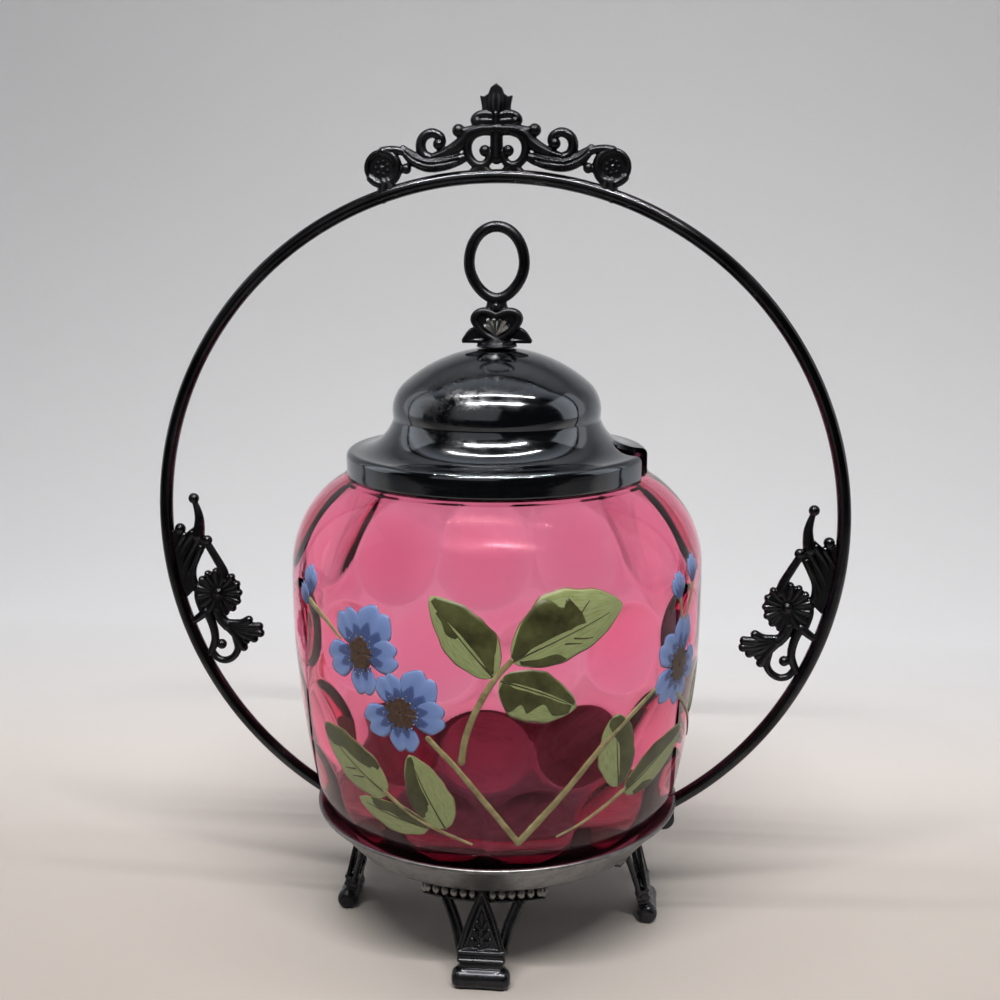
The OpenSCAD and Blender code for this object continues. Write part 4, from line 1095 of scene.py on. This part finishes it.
def build_sprigs():
    build_stem("sprig_stem", [(9.2, 85.8), (5.0, 81.4), (0.6, 74.3), (-2.3, 67.2), (-3.4, 61.4)], 1.3, 1.7)
    build_stem("main_stem", [(-12.0, 66.6), (-5.2, 60.2), (3.4, 50.4), (11.6, 40.6)], 1.4, 1.5)
    build_stem("right_stem", [(11.6, 40.6), (22.0, 51.0), (34.6, 63.5), (43.5, 69.6), (51.0, 73.6)], 1.9, 1.2)
    build_stem("lower_left_stem", [(-26.4, 50.8), (-19.8, 46.9), (-13.3, 44.0), (-6.0, 41.6), (-1.6, 40.2)],
               1.2, 0.7)
    build_stem("lower_right_stem", [(43.2, 50.0), (36.0, 46.6), (29.0, 43.6), (22.8, 41.4)], 1.2, 0.6)
    build_leaf("leaf_top_left", PaintedLeaf((5.0, 82.0), (-10.8, 99.8), 4.6, 7.0, 0.4, 0.7),
               [[(0.04, -0.3, -0.04), (0.3, -0.95, -0.03), (0.6, -0.95, 0.0), (0.84, -0.9, 0.2),
                 (0.96, -0.6, 0.3)],
                [(0.5, 0.0, 0.1), (0.62, -0.05, 0.5), (0.74, -0.05, 0.35), (0.86, -0.1, 0.5)]])
    build_leaf("leaf_top_right", PaintedLeaf((9.2, 85.6), (38.8, 96.4), 10.6, 5.4, 0.2, 0.7, 0.92),
               [[(0.02, 0.04, 0.6), (0.2, 0.03, 0.95), (0.42, 0.03, 0.9), (0.52, 0.04, 0.62),
                 (0.6, 0.03, 0.72), (0.68, 0.03, 0.1)],
                [(0.06, -0.8, -0.3), (0.2, -0.94, -0.42), (0.34, -0.94, -0.5), (0.4, -0.9, -0.86)]],
               [(0.52, -0.25, 0.66, -0.66), (0.44, -0.3, 0.56, -0.62), (0.6, 0.2, 0.74, 0.62)])
    build_leaf("leaf_middle", PaintedLeaf((6.4, 81.4), (26.0, 74.0), 4.8, 7.6, 0.5, 0.7),
               [[(0.03, 0.03, 0.9), (0.3, 0.03, 0.95), (0.6, 0.03, 0.95), (0.95, 0.05, 0.8)],
                [(0.04, -0.85, -0.03), (0.22, -0.95, -0.03), (0.34, -0.6, -0.03), (0.46, -0.72, -0.03),
                 (0.6, -0.34, -0.03), (0.75, -0.7, -0.03), (0.93, -0.85, -0.05)]])
    build_leaf("leaf_lower_left", PaintedLeaf((-25.6, 50.2), (-49.8, 62.8), 5.6, 6.6, 0.3, 0.62),
               [[(0.2, -0.95, -0.5), (0.45, -0.95, -0.2), (0.66, -0.95, -0.05), (0.8, -0.95, 0.6),
                 (0.98, -0.8, 0.8)]],
               [(0.3, 0.15, 0.42, 0.6), (0.42, 0.15, 0.54, 0.6)])
    build_leaf("leaf_low_edge", PaintedLeaf((-13.6, 43.4), (-37.2, 46.8), 4.2, 3.6, 0.2, 0.62),
               [[(0.04, -0.9, -0.03), (0.3, -0.95, 0.1), (0.5, -0.95, -0.1), (0.7, -0.9, 0.05),
                 (0.8, -0.9, -0.5)]])
    build_leaf("leaf_lower_middle", PaintedLeaf((-8.6, 43.6), (-18.0, 61.8), 5.0, 5.8, 0.3, 0.66),
               [[(0.22, 0.5, 0.95), (0.4, 0.05, 0.95), (0.6, 0.02, 0.95), (0.8, -0.05, 0.9),
                 (0.97, -0.3, 0.7)],
                [(0.34, 0.1, 0.5), (0.42, 0.04, 0.7), (0.55, 0.04, 0.6)]])
    build_leaf("leaf_lower_right", PaintedLeaf((41.0, 51.4), (37.8, 70.4), 5.2, 5.4, 0.3, 0.55, 0.95),
               [[(0.03, -0.8, -0.03), (0.3, -0.95, -0.03), (0.6, -0.95, -0.02), (0.8, -0.95, 0.5),
                 (0.97, -0.85, 0.9)]])
    build_leaf("leaf_far_right", PaintedLeaf((43.2, 49.4), (70.2, 59.8), 4.6, 5.2, 0.6, 0.6),
               [[(0.04, 0.03, 0.9), (0.3, 0.03, 0.95), (0.6, -0.1, 0.95), (0.96, -0.5, 0.8)],
                [(0.1, -0.94, -0.6), (0.24, -0.94, -0.4), (0.36, -0.94, -0.8)]])
    # Sprig that runs on round the right side
    build_stem("side_stem", [(62.6, 70.0), (74.0, 62.0), (86.0, 52.0)], 1.2, 1.4)
    build_leaf("leaf_side", PaintedLeaf((76.0, 61.0), (92.0, 72.0), 4.6, 5.4, 0.5),
               [[(0.04, -0.9, -0.03), (0.5, -0.95, -0.03), (0.95, -0.8, 0.2)]])


# Lid and finial

BAND_R = lid_hi.y
BAND_H = 6.3
BAND_EDGE = 1.5
DOME_R = 25.85
DOME_Z = 15.8
DOME_SHOULDER = 9
DOME_TOP = lid_hi.z - SEAT_Z
LID_T = 1.2
NOTCH_W = 12
NOTCH_IN_R = 29
NOTCH_TURN = -7
PINCH_TURN = 12


def lid_outline(t):
    """The lid's profile above its seat, at a depth t inside its outer face, from the band's foot up."""
    dome_c = (DOME_R - DOME_SHOULDER, DOME_Z)
    crown_h = DOME_TOP - DOME_Z
    crown_r = (dome_c[0] ** 2 + crown_h ** 2 - DOME_SHOULDER ** 2) / (2 * (crown_h - DOME_SHOULDER))
    crown_c = (0, DOME_TOP - crown_r)
    crown_turn = math.degrees(math.atan2(crown_r - crown_h, dome_c[0]))
    pinch = arc(dome_c, DOME_SHOULDER, -PINCH_TURN, 0, 1)[0]
    flare_x = BAND_R - BAND_EDGE
    dx, dz = flare_x - pinch[0], pinch[1] - BAND_H
    flare_r = (dx * dx + dz * dz) / (2 * dz)
    flare_c = (flare_x, BAND_H + flare_r)
    flare_turn = math.degrees(math.atan2(pinch[1] - flare_c[1], pinch[0] - flare_c[0])) + 360
    points = [(BAND_R - t, BAND_H * i / 6) for i in range(4)]
    points += arc((BAND_R - BAND_EDGE, BAND_H - BAND_EDGE), BAND_EDGE - t, 0, 90, 10)
    points += arc(flare_c, flare_r + t, 270, flare_turn, 26)[1:]
    points += arc(dome_c, DOME_SHOULDER - t, -PINCH_TURN, crown_turn, 26)
    points += arc(crown_c, crown_r - t, crown_turn, 90, 30)[1:]
    return points[:-1] + [(0, points[-1][1])]


def build_lid():
    outer, inner = lid_outline(0), lid_outline(LID_T)
    foot = [(BAND_R - LID_T * 0.3, 0), (BAND_R - LID_T * 0.7, 0)]
    profile = list(reversed(inner)) + list(reversed(foot)) + outer
    bm = bmesh.new()
    add_lathe(bm, [(r, z + SEAT_Z) for r, z in profile], 240)
    lid = make_piece("lid", bm, LID_PLATE, LID, ["lid_shell"])
    # Spoon notch with a round inner end, cut right through the flare and band
    cutter = bmesh.new()
    end = arc((NOTCH_IN_R + NOTCH_W / 2, 0), NOTCH_W / 2, 90, 270, 24)
    outline = end + [(BAND_R + 5, -NOTCH_W / 2), (BAND_R + 5, NOTCH_W / 2)]
    low = [cutter.verts.new((x, y, SEAT_Z - 1)) for x, y in outline]
    high = [cutter.verts.new((x, y, SEAT_Z + DOME_Z - 1)) for x, y in outline]
    cutter.faces.new(list(reversed(low)))
    cutter.faces.new(high)
    for i in range(len(outline)):
        j = (i + 1) % len(outline)
        cutter.faces.new((low[i], low[j], high[j], high[i]))
    turned = Matrix.Rotation(math.radians(NOTCH_TURN), 4, "Z")
    bmesh.ops.transform(cutter, matrix=turned, verts=cutter.verts[:])
    bmesh.ops.recalc_face_normals(cutter, faces=cutter.faces[:])
    tool = link_mesh("notch", cutter, scale=MM)
    cut = lid.modifiers.new("notch", "BOOLEAN")
    cut.operation = "DIFFERENCE"
    cut.solver = "EXACT"
    cut.object = tool
    whole = lid.data
    lid.data = with_modifiers(lid)
    lid.modifiers.clear()
    bpy.data.meshes.remove(whole)
    lid.data.name = "lid"
    remove_with_mesh(tool)


def build_finial():
    bm = bmesh.new()
    facets = bmesh.new()
    base_z = finial_lo.z
    heart_z = base_z + 1.3
    heart_w, heart_h, depth = 11.2, 7.4, 1.6
    ring_w, ring_h, rod = 16.2, 20.0, 2.75
    ring_z = finial_hi.z - ring_h / 2
    # Collar and the two leaves beside the heart
    collar = [(0, 0), (5, 0), (5, 0.5), (4.4, 0.8), (4.3, 1.2), (3.6, 1.6), (0, 1.8)]
    add_lathe(bm, [(r, z + base_z) for r, z in collar], 48)
    def beside(side, points):
        """Points of one side, from the heart's point, as (x, z) in the hoop's plane."""
        return [(side * x, heart_z + h) for x, h in points]

    for side in (-1, 1):
        wing = beside(side, [(0.5, -0.4), (8.5, -0.4), (8.6, 0.3), (7.2, 2.4), (5.0, 3.6), (0.5, 3.6)])
        add_plate(bm, wing if side < 0 else list(reversed(wing)), -0.8, 0.8)
        add_rod(bm, beside(side, [(2.0, 0.1), (5.2, 0.2), (8.3, 0.1)]), 1.8, 0.9, 1.5)
        add_rod(bm, beside(side, [(4.2, 3.4), (6.6, 2.4), (8.3, 0.3)]), 1.5, 0.8, 1.3)
    # Heart: wide lobes at the top, a point at the bottom, a raised rim round a sunk field on both faces
    half = heart_w / 2
    outline = beside(half, [(0, 0.3), (0.42, 1.5), (0.8, 3.4), (1, 5.4), (0.86, 6.9), (0.5, 7.4), (0, 6.5)])
    right = [tuple(p) for p in smooth_path(outline, 5)]
    rim = right + [(-x, z) for x, z in reversed(right[1:-1])]
    add_plate(bm, list(reversed(rim)), -depth + 0.6, depth - 0.6)
    for face in (-1, 1):
        path = [Vector((x, face * (depth - 0.5), z)) for x, z in rim + rim[:1]]
        add_tube(bm, path, 0.85, sides=12)
        # Facets that fan up from the heart's point
        for a, reach in ((44, 3.7), (62, 4.4), (80, 4.0), (100, 4.0), (118, 4.4), (136, 3.7)):
            turn = math.radians(a)
            point = Vector((0, face * (depth - 0.2), heart_z + 1.6))
            tip_z = heart_z + 1.2 + reach * math.sin(turn)
            tip = Vector((reach * math.cos(turn), face * (depth - 0.55), tip_z))
            add_tube(facets, [point, tip], 0.4, 0.66, sides=5)
        add_ball(bm, Vector((0, face * 1.5, heart_z + heart_h + 1.2)), 1.05)
    # Neck, and the oval ring that narrows into it
    half_w, half_h = (ring_w - rod) / 2, (ring_h - rod) / 2
    for side in (-1, 1):
        neck = beside(side, [(2.2, heart_h - 0.6), (1.5, heart_h + 1.2)])
        add_rod(bm, neck + [(side * 1.4, ring_z - half_h - 0.2)], 2.4, 2.0, 1.0)
    add_rod(bm, [(0, heart_z + heart_h - 1.6), (0, ring_z - half_h)], 2.6, 2.4, 1.0)
    turns = [2 * math.pi * i / 84 for i in range(85)]
    oval = []
    for a in turns:
        pinch = 1 - 0.16 * max(0, math.cos(a)) ** 2
        oval.append(Vector((half_w * math.sin(a) * pinch, 0, ring_z - half_h * math.cos(a))))
    add_tube(bm, oval, rod / 2, sides=20)
    make_piece("finial_cast", cast(bm, 0.12, 2), CASTING, LID, ["finial"])
    make_piece("finial_facets", facets, WORN, LID, smooth=False)


build_tray()
build_hoop()
build_lug("lug_right", 1, "hoop_lug_right")
build_lug("lug_left", -1, "hoop_lug_left")
build_crest()
build_side_scroll("scroll_right", 1, "side_scroll_right")
build_side_scroll("scroll_left", -1, "side_scroll_left")
for side_name, quarter_turns in (("right", 0), ("back", 1), ("left", 2), ("front", 3)):
    build_leg("leg_cast_" + side_name, quarter_turns * math.pi / 2, "leg_" + side_name)
    build_gallery("gallery_cast_" + side_name, quarter_turns * math.pi / 2, "gallery_" + side_name)
build_jar()
build_flowers()
build_sprigs()
build_lid()
build_finial()
for node in ("finial_stud", "finial_washer", "finial_nut"):
    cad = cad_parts[node]
    cad.data.materials.clear()
    cad.data.materials.append(FASTENER)


# Stage: a pale sweep, soft lamps and the camera

def build_stage():
    bm = bmesh.new()
    half_w, near, far, bend, top = 1.8, -0.42, 0.55, 0.35, 1.6
    line = [(near, 0.0), (far - bend, 0.0)]
    line += [(far - bend + bend * math.sin(a), bend - bend * math.cos(a))
             for a in [math.pi / 2 * i / 16 for i in range(1, 17)]]
    line += [(far, top)]
    left = [bm.verts.new((-half_w, y, z)) for y, z in line]
    right = [bm.verts.new((half_w, y, z)) for y, z in line]
    for i in range(len(line) - 1):
        bm.faces.new((left[i], right[i], right[i + 1], left[i + 1]))
    sweep = link_mesh("sweep", bm, backdrop_with_painted_light("sweep_painted_light"))
    smooth_faces(sweep.data)


def add_lamp(name, at, aim, width, height, watts):
    light = bpy.data.lights.new(name, "AREA")
    light.shape = "RECTANGLE"
    light.size = width
    light.size_y = height
    light.energy = watts
    lamp = bpy.data.objects.new(name, light)
    lamp.location = at
    lamp.rotation_euler = (Vector(aim) - Vector(at)).to_track_quat("-Z", "Y").to_euler()
    bpy.context.scene.collection.objects.link(lamp)


def build_glints():
    """Two rows of small bright lamps overhead, which show as dotted lines in the glass and the lid."""
    lamps, half_row, half_lamp, height = 26, 0.26, 0.002, 0.615
    for name, x, y, strength in (("glints_over", 0.0, -0.07, 1100.0), ("glints_front", 0.03, -0.34, 4600.0)):
        s = Shader(name + "_light")
        s.set(Base_Color=(0, 0, 0, 1), Emission_Color=(1, 0.97, 0.94, 1), Emission_Strength=strength)
        bm = bmesh.new()
        for i in range(lamps):
            place = Matrix.Translation((x + half_row * (2 * i / (lamps - 1) - 1), y, height))
            bmesh.ops.create_grid(bm, x_segments=1, y_segments=1, size=half_lamp, matrix=place)
        row = link_mesh(name, bm, s.material)


def build_light():
    add_lamp("softbox_left", (-1.0, 0.35, 0.5), (0, 0.1, 0.1), 1.2, 1.0, 2.4)
    add_lamp("softbox_right", (1.0, 0.35, 0.5), (0, 0.1, 0.1), 1.2, 1.0, 2.2)
    add_lamp("front_fill", (-0.5, -1.5, 0.8), (0, 0, 0.08), 1.6, 1.2, 1.4)
    build_glints()
    # The room: dark in front and overhead, where the metal mirrors it, and pale at the back
    world = bpy.data.worlds.new("room")
    world.use_nodes = True
    nodes, links = world.node_tree.nodes, world.node_tree.links
    coord = nodes.new("ShaderNodeTexCoord")
    split = nodes.new("ShaderNodeSeparateXYZ")
    scale = nodes.new("ShaderNodeMath")
    scale.operation = "MULTIPLY_ADD"
    scale.inputs[1].default_value = 0.5
    scale.inputs[2].default_value = 0.5
    ramp = nodes.new("ShaderNodeValToRGB")
    front, back = ramp.color_ramp.elements
    front.position, front.color = 0.48, srgb(34, 35, 37)
    back.position, back.color = 0.66, srgb(206, 210, 216)
    links.new(coord.outputs["Generated"], split.inputs[0])
    links.new(split.outputs[1], scale.inputs[0])
    links.new(scale.outputs[0], ramp.inputs[0])
    ground = nodes["Background"]
    links.new(ramp.outputs[0], ground.inputs["Color"])
    ground.inputs["Strength"].default_value = 0.9
    bpy.context.scene.world = world


def build_camera():
    data = bpy.data.cameras.new("camera")
    data.sensor_width = 36
    data.lens = 48.6
    camera = bpy.data.objects.new("camera", data)
    camera.location = (0.0338, -0.3307, 0.1812)
    camera.rotation_euler = [math.radians(a) for a in (78.063, 0.056, 5.697)]
    bpy.context.scene.collection.objects.link(camera)
    bpy.context.scene.camera = camera


build_stage()
build_light()
build_camera()
bpy.context.scene.view_settings.view_transform = "Standard"
